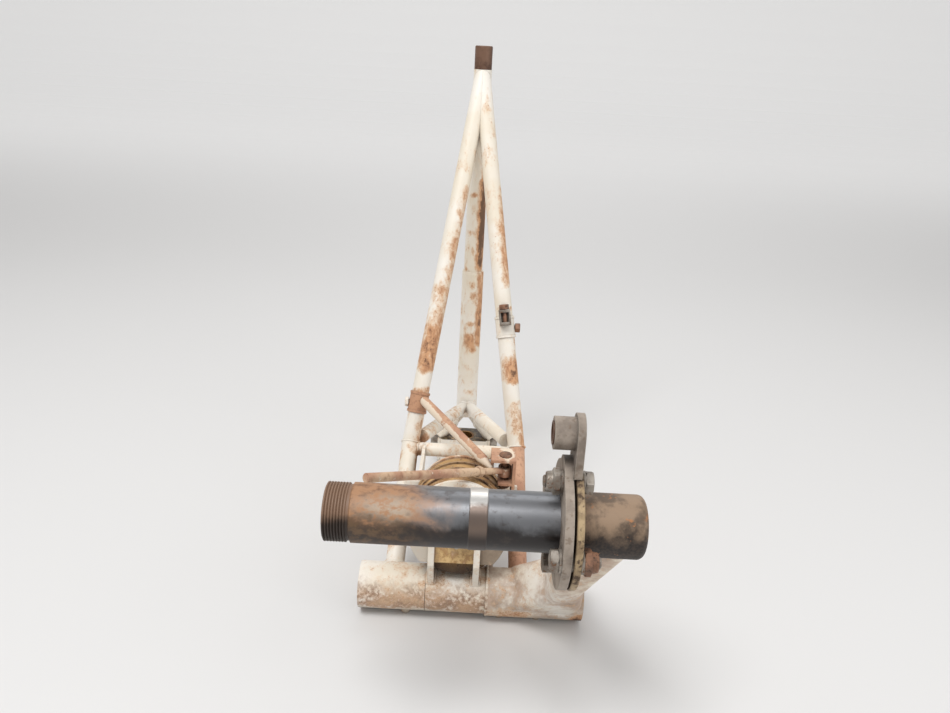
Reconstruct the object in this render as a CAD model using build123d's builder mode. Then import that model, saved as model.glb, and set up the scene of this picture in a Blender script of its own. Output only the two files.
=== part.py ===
"""Main landing gear leg of a light aircraft, standing on its forward end.

A welded truss of steel tube carries a trailing link on a pin across its foot.
The link carries the wheel axle, and squeezes a stack of rubber discs against the truss.

Frame, in millimetres: Z is the retraction axis, with the aft journal at the top.
The origin is the foot of the forward bearing's bore, on the ground.
X runs along the wheel axle, whose threaded outboard end points to -X.
-Y is towards the wheel, which is downwards on the aircraft.
"""

import os
from math import cos, radians, sin

from build123d import *

os.makedirs("parts", exist_ok=True)

# Retraction axis: aft journal, its socket and the upright tube
journal_d = 16.5
journal_length = 20.8
journal_bore_d = 9.5
journal_bore_depth = 18.0
socket_d = 17.1
socket_top_z = 423.7
socket_length = 37.7
spigot_length = 16.0
pivot_d = 19.05
pivot_wall = 1.65
sleeve_d = 22.2
sleeve_top_z = 227.0
sleeve_foot_z = 64.0
sleeve_lap = 24.0
foot_plug_length = 8.0

# Drag tubes, which lean apart from the journal to the leg joints
drag_d = 15.875
drag_wall = 1.65
apex = Vector(0, -3.4, socket_top_z - 8.0)
joint_x, joint_y, joint_z = 50.0, -133.0, 94.0
leg_overrun = 16.0

# Trailing link hinge, along X
hinge_y, hinge_z = -252.0, 23.0
hinge_tube_d = 38.1
hinge_pin_d = 19.05
left_boss_x0, left_boss_x1 = -79.0, -24.2
left_boss_wall = 3.175
link_tube_x1 = 30.7
link_bush_d = 25.4
right_boss_d = 34.0
right_boss_x1 = 70.0
lug_x1 = 105.2
side_gap = 0.3
running_fit = 0.05
leg_foot_x = 52.6

# Cross members and struts of the truss
cross_d = 12.7
cross_wall = 1.25
cross_y, cross_z = -136.0, 89.0
strut_d = 12.7
strut_wall = 1.25
strut_end_wall = 12.0
node_z = 72.0
outer_strut_end = Vector(39.5, -125.5, 97.0)
inner_strut_end = Vector(28.0, -2.0, 34.0)

# Forward bearing block
block_x0, block_x1 = -27.0, 25.0
block_y0, block_y1 = -13.0, 17.0
block_height = 34.5
block_bore_d = 20.6
forward_bore_d = 16.5
cheek_thickness = 3.5
cheek_height = 33.0
side_bolt_z = 26.5
side_bolt_d = 7.9
side_bolt_head = 8.0

# Rubber disc stack between the pad on the link and the head on the truss
stack_y, stack_z = -257.0, 86.0
pad_foot_drop = 25.5
stack_decline = 14.0
disc_d = 79.0
disc_hole_d = 20.0
rubber_thickness = 14.6
plate_thickness = 2.8
disc_gap = 0.3
disc_count = 4
pad_thickness = 5.0
plate_hole_d = 24.0
plate_d = 80.0
head_thickness = 5.0
shock_bolt_d = 12.7

# Axle, its flange and the stub on the link
axle_y, axle_z = -371.0, 172.6
axle_d = 38.1
axle_bore_d = 26.0
axle_x0 = -80.5
thread_length = 16.2
thread_pitch = 1.814
thread_depth = 1.0
crest_step = 0.3
land_x0, land_x1 = 8.0, 19.4
land_step = 0.45
flange_x0, flange_x1 = 70.0, 74.4
flange_d = 80.0
spigot_d = 31.6
spigot_x1 = 109.0
stub_d = 39.7
stub_x1 = 116.3
stub_end_wall = 5.0
stub_end_radius = 4.8

# Brake torque plate and the flange bolts
plate_x0, plate_x1 = 63.0, 68.4
arm_layer_x1 = 73.2
plate_bore_d = 37.6
plate_ring_d = flange_d
bolt_circle_r = flange_d / 2 - 7.4
bolt_angles = (98.0, 8.0, -82.0, -172.0)
flange_bolt_d = 7.94
anchor_r = 62.0
anchor_angles = (89.0, -28.0)
anchor_boss_d = 20.0
anchor_pad_r = 12.5
anchor_boss_x0 = 55.4
anchor_bore_d = 11.1
anchor_bush_wall = 1.6

# Trailing arm
arm_wall = 3.4
shell_outer_d = 41.2
shell_bore_d = 36.6
arm_sections = (
    (0.0, 33.0, 105.0, 37.0),
    (48.0, 70.0, 100.0, 37.0),
    (70.0, 72.0, 98.0, 36.5),
    (191.0, 77.3, 112.9, 34.0),
)

# Door rod and its bracket on the right leg
rod_pivot_x, rod_pivot_y, pivot_under_plates = 36.4, -214.0, 10.0
rod_end_x, rod_end_y, rod_end_z = -62.8, -325.0, 169.4
rod_pivot = Vector(rod_pivot_x, rod_pivot_y, stack_z + plate_d / 2 - pivot_under_plates)
rod_end = Vector(rod_end_x, rod_end_y, rod_end_z)
rod_d = 6.8
rod_thread_d = 5.6
rod_bolt_d = 6.35

MIRROR = ((-1, "left"), (1, "right"))


def write(part, name):
    """Labels a finished piece and writes it to its own file."""
    part.label = name
    export_step(part, f"parts/{name}.step")


def bar(start, end, diameter, bore=0.0, cuts=()):
    """A round bar or tube from start to end, cut back to the shapes in cuts."""
    run = Vector(end) - Vector(start)
    with BuildPart() as piece:
        with BuildSketch(Plane(origin=start, z_dir=run)):
            Circle(diameter / 2)
            if bore:
                Circle(bore / 2, mode=Mode.SUBTRACT)
        extrude(amount=run.length)
        for cut in cuts:
            add(cut, mode=Mode.SUBTRACT)
    return piece.part


def along_x(x0, x1, diameter, y, z, bore=0.0, cuts=()):
    """A round bar or tube along X at a height and depth."""
    return bar(Vector(x0, y, z), Vector(x1, y, z), diameter, bore, cuts)


def hex_prism(start, direction, across_flats, length, bore=0.0, turn=0.0):
    """A chamfered hexagon, such as a nut or a bolt head, from start along direction."""
    with BuildPart() as piece:
        with BuildSketch(Plane(origin=start, z_dir=direction)):
            RegularPolygon(across_flats / 2, 6, major_radius=False, rotation=turn)
            if bore:
                Circle(bore / 2, mode=Mode.SUBTRACT)
        extrude(amount=length)
        with BuildSketch(Plane(origin=start, z_dir=direction)):
            Circle(across_flats * 0.56)
        extrude(amount=length, mode=Mode.INTERSECT)
    return piece.part


def bolt(seat, direction, diameter, shank, across_flats, head):
    """A hex bolt: its head stands on the seat and its shank runs back through it."""
    unit = Vector(direction).normalized()
    shape = hex_prism(seat, unit, across_flats, head)
    shank_bar = bar(Vector(seat) - unit * shank, seat, diameter)
    with BuildPart() as piece:
        add(shape)
        add(shank_bar)
    return piece.part


def washer(seat, direction, outer, inner, thickness):
    """A flat washer that stands on the seat."""
    unit = Vector(direction).normalized()
    return bar(seat, Vector(seat) + unit * thickness, outer, inner)


def group(*solids):
    """Several separate solids in one node."""
    return Compound(children=list(solids))


def mirrored(point, side):
    """A point of the right half, on the chosen side."""
    return Vector(point.X * side, point.Y, point.Z)


# Aft journal and apex socket
socket_foot_z = socket_top_z - socket_length
journal_shank_d = pivot_d - 2 * pivot_wall - 2.0
with BuildPart() as aft_journal:
    with BuildSketch(Plane.XY.offset(socket_top_z)):
        Circle(journal_d / 2)
    extrude(amount=journal_length)
    chamfer(aft_journal.edges().group_by(Axis.Z)[-1], 0.8)
    with BuildSketch(Plane.XY.offset(socket_foot_z)):
        Circle(journal_shank_d / 2)
    extrude(amount=socket_length)
    with Locations((0, 0, socket_top_z + journal_length)):
        Hole(journal_bore_d / 2, depth=journal_bore_depth)
write(aft_journal.part, "aft_journal")

with BuildPart() as apex_socket:
    with BuildSketch(Plane.XY.offset(socket_foot_z)):
        Circle(socket_d / 2)
    extrude(amount=socket_length)
    with BuildSketch(Plane.XY.offset(socket_foot_z - spigot_length)):
        Circle(pivot_d / 2 - pivot_wall)
    extrude(amount=spigot_length)
    with BuildSketch(Plane.XY.offset(socket_foot_z - spigot_length)):
        Circle(journal_shank_d / 2)
    extrude(amount=spigot_length + socket_length, mode=Mode.SUBTRACT)
write(apex_socket.part, "apex_socket")

# Upright tube on the retraction axis, with its thicker sleeve below
with BuildPart() as pivot_tube:
    with BuildSketch(Plane.XY.offset(sleeve_top_z - sleeve_lap)):
        Circle(pivot_d / 2)
        Circle(pivot_d / 2 - pivot_wall, mode=Mode.SUBTRACT)
    extrude(amount=socket_foot_z - sleeve_top_z + sleeve_lap)
write(pivot_tube.part, "pivot_tube")

with BuildPart() as pivot_sleeve:
    with BuildSketch(Plane.XY.offset(sleeve_foot_z)):
        Circle(sleeve_d / 2)
        Circle(pivot_d / 2, mode=Mode.SUBTRACT)
    extrude(amount=sleeve_top_z - sleeve_foot_z)
    chamfer(pivot_sleeve.edges().group_by(Axis.Z)[-1].sort_by(SortBy.LENGTH)[-1], 0.8)
write(pivot_sleeve.part, "pivot_sleeve")

with BuildPart() as sleeve_plug:
    with BuildSketch(Plane.XY.offset(sleeve_foot_z)):
        Circle(pivot_d / 2)
    extrude(amount=foot_plug_length)
    with BuildSketch(Plane.XY.offset(sleeve_foot_z - 2.0)):
        Circle(sleeve_d / 2)
    extrude(amount=2.0)
write(sleeve_plug.part, "sleeve_plug")

# Envelopes that the welded tube ends are coped to
socket_shape = bar((0, 0, socket_foot_z), (0, 0, socket_top_z), socket_d)
pivot_shape = bar((0, 0, sleeve_top_z), (0, 0, socket_foot_z), pivot_d)
sleeve_shape = bar((0, 0, sleeve_foot_z - 2.0), (0, 0, sleeve_top_z), sleeve_d)
hinge = Vector(0, hinge_y, hinge_z)
left_boss_shape = along_x(left_boss_x0, left_boss_x1, hinge_tube_d, hinge_y, hinge_z)
right_boss_x0 = link_tube_x1 + side_gap
right_boss_shape = along_x(right_boss_x0, right_boss_x1, right_boss_d, hinge_y, hinge_z)
boss_shapes = {"left": left_boss_shape, "right": right_boss_shape}

# Drag tubes and legs meet in a mitre at each leg joint
drag_shapes = {}
leg_shapes = {}
for side, name in MIRROR:
    joint = Vector(joint_x * side, joint_y, joint_z)
    foot = Vector(leg_foot_x * side, hinge_y, hinge_z)
    drag_run = (joint - apex).normalized()
    leg_run = (foot - joint).normalized()
    mitre = Plane(origin=joint, z_dir=drag_run + leg_run)
    drag_top = apex - drag_run * 30.0
    drag_foot = joint + drag_run * leg_overrun
    leg_top = joint - leg_run * leg_overrun
    drag_shapes[name] = bar(drag_top, drag_foot, drag_d)
    leg_shapes[name] = bar(leg_top, foot, drag_d)

    with BuildPart() as drag_tube:
        add(bar(drag_top, drag_foot, drag_d, drag_d - 2 * drag_wall, (socket_shape, pivot_shape)))
        split(bisect_by=mitre, keep=Keep.BOTTOM)
        split(bisect_by=Plane.XY.offset(socket_top_z), keep=Keep.BOTTOM)
        split(bisect_by=Plane.YZ, keep=Keep.TOP if side > 0 else Keep.BOTTOM)
    outside = drag_tube.solids().sort_by(SortBy.VOLUME)[-1]
    write(Part([outside]), f"{name}_drag_tube")

    with BuildPart() as leg:
        add(bar(leg_top, foot, drag_d, drag_d - 2 * drag_wall, (boss_shapes[name],)))
        split(bisect_by=mitre, keep=Keep.TOP)
    outside = leg.solids().sort_by(SortBy.VOLUME)[-1]
    write(Part([outside]), f"{name}_leg")

# Cross tube between the leg joints
joint_shapes = list(drag_shapes.values()) + list(leg_shapes.values())
cross_start = Vector(-joint_x, cross_y, cross_z)
cross_end = Vector(joint_x, cross_y, cross_z)
cross_tube = bar(cross_start, cross_end, cross_d, cross_d - 2 * cross_wall, joint_shapes)
cross_tube = Part([cross_tube.solids().sort_by(SortBy.VOLUME)[-1]])
write(cross_tube, "cross_tube")

# Forward bearing block, its bush and the cheeks bolted to its sides
with BuildPart() as bearing_block:
    with BuildSketch():
        with Locations(((block_x0 + block_x1) / 2, (block_y0 + block_y1) / 2)):
            Rectangle(block_x1 - block_x0, block_y1 - block_y0)
        Circle(block_bore_d / 2, mode=Mode.SUBTRACT)
    extrude(amount=block_height)
    chamfer(bearing_block.edges().filter_by(Axis.Z).filter_by(GeomType.LINE), 2.0)
    for x, facing in ((block_x0, 1), (block_x1, -1)):
        with Locations(Plane(origin=(x, 0, side_bolt_z), z_dir=(facing, 0, 0))):
            Cylinder(side_bolt_d / 2, 28.0, mode=Mode.SUBTRACT)
write(bearing_block.part, "bearing_block")

with BuildPart() as forward_bush:
    with BuildSketch():
        Circle(block_bore_d / 2)
        Circle(forward_bore_d / 2, mode=Mode.SUBTRACT)
    extrude(amount=block_height)
write(forward_bush.part, "forward_bush")

block_mid_y = (block_y0 + block_y1) / 2
cheeks = []
side_bolts = []
for x, facing in ((block_x0, -1), (block_x1, 1)):
    outer_x = x + facing * cheek_thickness
    with BuildPart() as cheek:
        with Locations(((x + outer_x) / 2, block_mid_y, cheek_height / 2 + 3.0)):
            Box(cheek_thickness, block_y1 - block_y0 - 6.0, cheek_height - 6.0)
        with Locations(Plane(origin=(x, 0, side_bolt_z), z_dir=(facing, 0, 0))):
            Cylinder(side_bolt_d / 2, 4 * cheek_thickness, mode=Mode.SUBTRACT)
    cheeks.append(cheek.part)
    seat = Vector(outer_x, 0, side_bolt_z)
    side_bolts.append(bolt(seat, (facing, 0, 0), side_bolt_d, cheek_thickness + 12.0, 12.7, side_bolt_head))
write(group(*cheeks), "bearing_cheeks")
write(group(*side_bolts), "bearing_side_bolts")

# Struts from the foot of the sleeve to the drag tubes and to the bearing block
block_shape = Part([Solid.make_box(block_x1 - block_x0, block_y1 - block_y0, block_height,
                                   Plane(origin=(block_x0, block_y0, 0)))])
strut_tops = {}
node = Vector(0, 0, node_z)
strut_bore = strut_d - 2 * strut_wall
for side, name in MIRROR:
    outer_end = mirrored(outer_strut_end, side)
    closed_from = outer_end - (outer_end - node).normalized() * strut_end_wall
    strut_cuts = [sleeve_shape, drag_shapes[name], leg_shapes[name]] + list(strut_tops.values())
    strut_cuts.append(bar(node, closed_from, strut_bore))
    outer = bar(node, outer_end, strut_d, 0.0, strut_cuts)
    outer = Part([outer.solids().sort_by(SortBy.VOLUME)[-1]])
    write(outer, f"{name}_outer_strut")
    strut_tops[name] = bar(node, outer_end, strut_d)

for side, name in MIRROR:
    inner_end = mirrored(inner_strut_end, side)
    inner_cuts = [sleeve_shape, block_shape] + cheeks + list(strut_tops.values())
    inner_cuts += [bar(node, mirrored(inner_strut_end, -1), strut_d)] if side > 0 else []
    inner = bar(node, inner_end, strut_d, strut_bore, inner_cuts)
    inner = Part([inner.solids().sort_by(SortBy.VOLUME)[-1]])
    write(inner, f"{name}_inner_strut")

# Hinge bosses at the feet of the legs
pin_hole_d = hinge_pin_d + 2 * running_fit
left_bore = hinge_tube_d - 2 * left_boss_wall
left_boss = along_x(left_boss_x0, left_boss_x1, hinge_tube_d, hinge_y, hinge_z, left_bore)
write(left_boss, "left_hinge_boss")
right_boss = along_x(right_boss_x0, right_boss_x1, right_boss_d, hinge_y, hinge_z, link_bush_d)
write(right_boss, "right_hinge_boss")

# Bushes: bronze in the bosses, in the link tube and in the lug
left_bush_x0 = left_boss_x0 + 22.0
bush_in_left = along_x(left_bush_x0, left_boss_x1, left_bore, hinge_y, hinge_z, pin_hole_d)
bush_in_right = along_x(right_boss_x0, right_boss_x1, link_bush_d, hinge_y, hinge_z, pin_hole_d)
write(group(bush_in_left, bush_in_right), "truss_hinge_bushes")

# Hinge pin with a head sunk in the lug and a nut inside the left boss
link_tube_x0 = left_boss_x1 + side_gap
lug_x0 = right_boss_x1 + side_gap
pin_head_length = 6.0
pin_nut_length = 11.0
pin_nut_af = left_bore - 5.5
pin_x0 = left_bush_x0 - 2.0 - pin_nut_length - 4.0
pin_head_x0 = lug_x1 - pin_head_length - 0.6
pin_shank = along_x(pin_x0, pin_head_x0, hinge_pin_d, hinge_y, hinge_z)
pin_head_d = hinge_pin_d + 8.0
pin_head = along_x(pin_head_x0, pin_head_x0 + pin_head_length, pin_head_d, hinge_y, hinge_z)
with BuildPart() as hinge_pin:
    add(pin_shank)
    add(pin_head)
    chamfer(hinge_pin.edges().group_by(Axis.X)[0], 1.0)
    chamfer(hinge_pin.edges().group_by(Axis.X)[-1], 1.0)
write(hinge_pin.part, "hinge_pin")

pin_washer_seat = Vector(left_bush_x0, hinge_y, hinge_z)
pin_washer = washer(pin_washer_seat, (-1, 0, 0), left_bore - 1.5, hinge_pin_d, 2.0)
pin_nut_seat = pin_washer_seat - Vector(2.0, 0, 0)
pin_nut = hex_prism(pin_nut_seat, (-1, 0, 0), pin_nut_af, pin_nut_length, hinge_pin_d)
write(group(pin_washer, pin_nut), "hinge_pin_nut")

# Link tube between the bosses, with its bushes
link_tube = along_x(link_tube_x0, link_tube_x1, hinge_tube_d, hinge_y, hinge_z, link_bush_d)
write(link_tube, "link_tube")
link_bush = along_x(link_tube_x0, link_tube_x1, link_bush_d, hinge_y, hinge_z, pin_hole_d)
lug_bush = along_x(lug_x0, pin_head_x0 - side_gap, link_bush_d, hinge_y, hinge_z, pin_hole_d)
write(group(link_bush, lug_bush), "link_bushes")

# Grease fittings under the hinge line, which stand on the ground
fitting_y = hinge_y - 6.0
tube_shapes = {
    "truss": left_boss_shape,
    "link": along_x(link_tube_x0, lug_x1, shell_outer_d, hinge_y, hinge_z),
}


def grease_fitting(x, owner):
    """A short cone that stands down from the tube to the ground."""
    with BuildPart() as fitting:
        with BuildSketch(Plane(origin=(x, fitting_y, 0), x_dir=(1, 0, 0), z_dir=(0, -1, 0))):
            with BuildLine():
                Polyline((0, 0), (2.4, 0), (6.2, 8.6), (0, 8.6), close=True)
            make_face()
        revolve(axis=Axis((x, fitting_y, 0), (0, 0, 1)))
        add(tube_shapes[owner], mode=Mode.SUBTRACT)
    return fitting.part


write(grease_fitting(-40.3, "truss"), "boss_grease_fitting")
write(group(grease_fitting(37.6, "link"), grease_fitting(68.5, "link")), "link_grease_fittings")

# Trailing arm: a box that tapers from the hinge line up to the axle stub
arm_rise = Vector(0, axle_y - hinge_y, axle_z - hinge_z)
arm_length = arm_rise.length
arm_unit = arm_rise.normalized()
stub_shape = along_x(flange_x1, stub_x1, stub_d, axle_y, axle_z)


def arm_plane(distance):
    """The plane across the arm at a distance from the hinge line."""
    return Plane(origin=hinge + arm_unit * distance, x_dir=(1, 0, 0), z_dir=arm_unit)


def arm_loft(sections, wall, radius):
    """A tapered box through sections of (distance, left X, right X, thickness)."""
    with BuildPart() as box:
        for distance, x0, x1, thickness in sections:
            with BuildSketch(arm_plane(distance)):
                with Locations(((x0 + x1) / 2, 0)):
                    RectangleRounded(x1 - x0 - 2 * wall, thickness - 2 * wall, radius)
        loft(ruled=True)
    return box.part


def section_at(distance):
    """The arm's section at a distance, on straight lines between the given ones."""
    lower, upper = arm_sections[0], arm_sections[1]
    for first, second in zip(arm_sections[1:], arm_sections[2:]):
        if distance >= first[0]:
            lower, upper = first, second
    share = (distance - lower[0]) / (upper[0] - lower[0])
    return (distance,) + tuple(a + share * (b - a) for a, b in zip(lower[1:], upper[1:]))


hollow_sections = tuple(section_at(distance) for distance in (16.0, 48.0, 70.0, 145.0))
arm_outer = arm_loft(arm_sections, 0.0, 9.0)
arm_hollow = arm_loft(hollow_sections, arm_wall, 6.0)
shell_x0 = link_tube_x1 - 4.7
shell_outer = along_x(shell_x0, lug_x1, shell_outer_d, hinge_y, hinge_z)
shell_bore = along_x(right_boss_x0 - side_gap, lug_x0, shell_bore_d, hinge_y, hinge_z)
lug_bore = along_x(right_boss_x0, lug_x1 + 1.0, link_bush_d, hinge_y, hinge_z)
link_tube_shape = along_x(0, link_tube_x1, hinge_tube_d, hinge_y, hinge_z)
head_room = along_x(pin_head_x0 - side_gap, lug_x1 + 1.0, pin_head_d + 1.0, hinge_y, hinge_z)

# The shell is open behind, where the right leg reaches its boss
opening_low, opening_high = -24.0, 77.0
opening_reach = shell_outer_d + 29.0
with BuildPart() as opening:
    with BuildSketch(Plane(origin=(right_boss_x0 - side_gap, hinge_y, hinge_z), x_dir=(0, 1, 0),
                           z_dir=(1, 0, 0))):
        with BuildLine():
            Polyline(
                (0, 0),
                (opening_reach * cos(radians(opening_low)), opening_reach * sin(radians(opening_low))),
                (opening_reach * 1.3, opening_reach * 0.6),
                (opening_reach * cos(radians(opening_high)), opening_reach * sin(radians(opening_high))),
                close=True,
            )
        make_face()
    extrude(amount=lug_x0 - right_boss_x0 + side_gap)

flange_room = along_x(axle_x0, flange_x1 + side_gap, flange_d + 4.0, axle_y, axle_z)
bolt_points = [
    Vector(0, axle_y + bolt_circle_r * cos(radians(a)), axle_z + bolt_circle_r * sin(radians(a)))
    for a in bolt_angles
]
nut_room_d = 18.0
nut_room_length = 16.0
nut_rooms = [
    bar(p + Vector(flange_x1 - 2.0, 0, 0), p + Vector(flange_x1 + nut_room_length, 0, 0), nut_room_d)
    for p in bolt_points
]
with BuildPart() as trailing_arm:
    add(arm_outer)
    add(shell_outer)
    add(arm_hollow, mode=Mode.SUBTRACT)
    for room in (shell_bore, lug_bore, link_tube_shape, head_room, opening.part, flange_room, stub_shape):
        add(room, mode=Mode.SUBTRACT)
    for room in nut_rooms:
        add(room, mode=Mode.SUBTRACT)
arm_solid = trailing_arm.solids().sort_by(SortBy.VOLUME)[-1]
write(Part([arm_solid]), "trailing_arm")

# Axle stub, a closed cup that takes the axle's spigot
with BuildPart() as axle_stub:
    add(stub_shape)
    fillet(axle_stub.edges().group_by(Axis.X)[-1], stub_end_radius)
    add(along_x(flange_x1, stub_x1 - stub_end_wall, spigot_d, axle_y, axle_z), mode=Mode.SUBTRACT)
write(axle_stub.part, "axle_stub")

# Axle: a hollow turned tube with a threaded end, a raised land and a spigot
axle_r = axle_d / 2
body_r = axle_r - land_step
crest_r = body_r - crest_step
thread_x1 = axle_x0 + thread_length
thread_count = int(thread_length / thread_pitch)
profile = [(axle_x0, axle_bore_d / 2), (axle_x0, crest_r - thread_depth)]
for turn in range(thread_count):
    root_x = axle_x0 + turn * thread_pitch
    profile.append((root_x + 0.3 * thread_pitch, crest_r))
    profile.append((root_x + 0.6 * thread_pitch, crest_r))
    profile.append((root_x + 0.95 * thread_pitch, crest_r - thread_depth))
profile += [
    (thread_x1, crest_r - thread_depth),
    (thread_x1 + 0.6, body_r),
    (land_x0, body_r),
    (land_x0 + 0.5, axle_r),
    (land_x1 - 0.5, axle_r),
    (land_x1, body_r),
    (flange_x0, body_r),
    (flange_x0 + 0.5, axle_r),
    (flange_x1, axle_r),
    (flange_x1, spigot_d / 2),
    (spigot_x1, spigot_d / 2),
    (spigot_x1, axle_bore_d / 2),
]
with BuildPart() as axle:
    with BuildSketch(Plane(origin=(0, axle_y, axle_z), x_dir=(1, 0, 0), z_dir=(0, -1, 0))):
        with BuildLine():
            Polyline(*profile, close=True)
        make_face()
    revolve(axis=Axis((0, axle_y, axle_z), (1, 0, 0)))
write(axle.part, "axle")

flange_bolt_hole_d = flange_bolt_d + 0.4
flange_holes = [
    bar(p + Vector(plate_x0 - 1, 0, 0), p + Vector(flange_x1 + 1, 0, 0), flange_bolt_hole_d)
    for p in bolt_points
]
axle_flange = along_x(flange_x0, flange_x1, flange_d, axle_y, axle_z, axle_d, flange_holes)
with BuildPart() as flange_piece:
    add(axle_flange)
    chamfer(flange_piece.edges().filter_by(GeomType.CIRCLE).sort_by(SortBy.LENGTH)[-2:], 0.6)
write(flange_piece.part, "axle_flange")

# Brake torque plate: a ring on the axle, with two bosses for the caliper's pins
anchor_points = [
    (axle_y + anchor_r * cos(radians(a)), axle_z + anchor_r * sin(radians(a))) for a in anchor_angles
]


def side_plane(x):
    """A plane across the axle at X, with Y to its right and Z up."""
    return Plane(origin=(x, 0, 0), x_dir=(0, 1, 0), z_dir=(1, 0, 0))


finger_r = 14.0
finger_reach = plate_ring_d / 2 - 8.0
finger_roots = [
    (axle_y + finger_reach * cos(radians(a)), axle_z + finger_reach * sin(radians(a))) for a in anchor_angles
]
with BuildPart() as torque_plate:
    with BuildSketch(side_plane(plate_x0)):
        with Locations((axle_y, axle_z)):
            Circle(plate_ring_d / 2)
        with Locations(finger_roots):
            Circle(finger_r)
    extrude(amount=plate_x1 - plate_x0)
    for root, anchor in zip(finger_roots, anchor_points):
        with BuildSketch(side_plane(plate_x1)):
            with Locations(root):
                Circle(finger_r)
            with Locations(anchor):
                Circle(anchor_pad_r)
            make_hull()
            with Locations((axle_y, axle_z)):
                Circle(flange_d / 2 + 1.0, mode=Mode.SUBTRACT)
        extrude(amount=arm_layer_x1 - plate_x1)
    for y, z in anchor_points:
        with BuildSketch(side_plane(anchor_boss_x0)):
            with Locations((y, z)):
                Circle(anchor_boss_d / 2)
        extrude(amount=arm_layer_x1 - anchor_boss_x0)
    with BuildSketch(side_plane(plate_x0 - 20.0)):
        with Locations(anchor_points):
            Circle(anchor_bore_d / 2 + anchor_bush_wall)
        with Locations((axle_y, axle_z)):
            Circle(plate_bore_d / 2)
    extrude(amount=60.0, mode=Mode.SUBTRACT)
    for hole in flange_holes:
        add(hole, mode=Mode.SUBTRACT)
write(torque_plate.part, "brake_torque_plate")

anchor_bushes = [
    bar((anchor_boss_x0 - 0.8, y, z), (arm_layer_x1, y, z), anchor_bore_d + 2 * anchor_bush_wall, anchor_bore_d)
    for y, z in anchor_points
]
write(group(*anchor_bushes), "anchor_bushes")

# Flange bolts; the upper one has its nut outboard
bolt_head = 5.0
nut_length = 8.6
washer_length = 1.7
washer_d = 14.3
flange_head_af = 12.7
flange_nut_af = 14.3
flange_bolts, flange_nuts, flange_washers, shims = [], [], [], []
for number, p in enumerate(bolt_points):
    outboard = Vector(plate_x0, p.Y, p.Z)
    inboard = Vector(flange_x1, p.Y, p.Z)
    head_seat, nut_seat, towards = (outboard, inboard, Vector(-1, 0, 0))
    if number == 0:
        head_seat, nut_seat, towards = (inboard, outboard, Vector(1, 0, 0))
    head_seat += towards * washer_length
    nut_seat -= towards * washer_length
    shank = flange_x1 - plate_x0 + 2 * washer_length + nut_length + 2.0
    flange_bolts.append(bolt(head_seat, towards, flange_bolt_d, shank, flange_head_af, bolt_head))
    flange_nuts.append(hex_prism(nut_seat, towards * -1, flange_nut_af, nut_length, flange_bolt_d, 12.0))
    for face, way in ((outboard, Vector(-1, 0, 0)), (inboard, Vector(1, 0, 0))):
        flange_washers.append(washer(face, way, washer_d, flange_bolt_hole_d, washer_length))
    shim_seat = Vector(plate_x1, p.Y, p.Z)
    shims.append(washer(shim_seat, (1, 0, 0), 12.0, flange_bolt_hole_d, flange_x0 - plate_x1))
write(group(*flange_bolts), "flange_bolts")
write(group(*flange_nuts), "flange_nuts")
write(group(*flange_washers, *shims), "flange_washers")

# Rubber disc stack, measured back along its axis from the pad's rear face
decline = radians(stack_decline)
stack_axis = Vector(0, cos(decline), -sin(decline))
stack_origin = Vector(0, stack_y, stack_z)


def stack_disc(start, thickness, outer, bore, x=0.0):
    """A disc of the stack whose front face is start behind the pad."""
    front = stack_origin + stack_axis * start + Vector(x, 0, 0)
    return bar(front, front + stack_axis * thickness, outer, bore)


pitch = rubber_thickness + plate_thickness + 2 * disc_gap
for number in range(disc_count):
    start = number * pitch + disc_gap
    write(stack_disc(start, rubber_thickness, disc_d, disc_hole_d), f"rubber_disc_{number + 1}")
    if number < disc_count - 1:
        plate_start = start + rubber_thickness + disc_gap
        steel = stack_disc(plate_start, plate_thickness, plate_d, plate_hole_d)
        write(steel, f"shock_plate_{number + 1}")

# Head of the stack on the truss, with ears to the legs
head_start = disc_count * pitch - plate_thickness - disc_gap + disc_gap
head_origin = stack_origin + stack_axis * head_start
head_plane = Plane(origin=head_origin, x_dir=(1, 0, 0), z_dir=stack_axis)
ear_height = 30.0
with BuildPart() as shock_head:
    with BuildSketch(head_plane):
        Circle(plate_d / 2)
        Rectangle(2 * joint_x, ear_height)
        Circle(shock_bolt_d / 2 + running_fit, mode=Mode.SUBTRACT)
    extrude(amount=head_thickness)
    for shape in leg_shapes.values():
        add(shape, mode=Mode.SUBTRACT)
head_solid = shock_head.solids().sort_by(SortBy.VOLUME)[-1]
write(Part([head_solid]), "shock_head")

# Side gussets from the head up to the cross tube
gusset_thickness = 3.0
gusset_x = 36.5
head_back = head_origin + stack_axis * head_thickness
head_up = Vector(0, sin(decline), cos(decline))
head_shape = stack_disc(head_start - 20.0, head_thickness + 20.0, plate_d + 10.0, 0)
cross_shape = bar(cross_start, cross_end, cross_d)
gussets = []
for side, name in MIRROR:
    corner_low = head_back - head_up * 12.0
    corner_top = head_back + head_up * 24.0
    x0 = side * gusset_x - gusset_thickness / 2
    with BuildPart() as gusset:
        with BuildSketch(Plane(origin=(x0, 0, 0), x_dir=(0, 1, 0), z_dir=(1, 0, 0))):
            with BuildLine():
                Polyline(
                    (corner_low.Y, corner_low.Z),
                    (corner_top.Y, corner_top.Z),
                    (cross_y, cross_z + cross_d / 2),
                    (cross_y, cross_z - cross_d / 2),
                    close=True,
                )
            make_face()
        extrude(amount=gusset_thickness)
        add(cross_shape, mode=Mode.SUBTRACT)
        add(drag_shapes[name], mode=Mode.SUBTRACT)
        add(leg_shapes[name], mode=Mode.SUBTRACT)
    gussets.append(gusset.solids().sort_by(SortBy.VOLUME)[-1])
write(group(*gussets), "shock_head_gussets")

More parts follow.
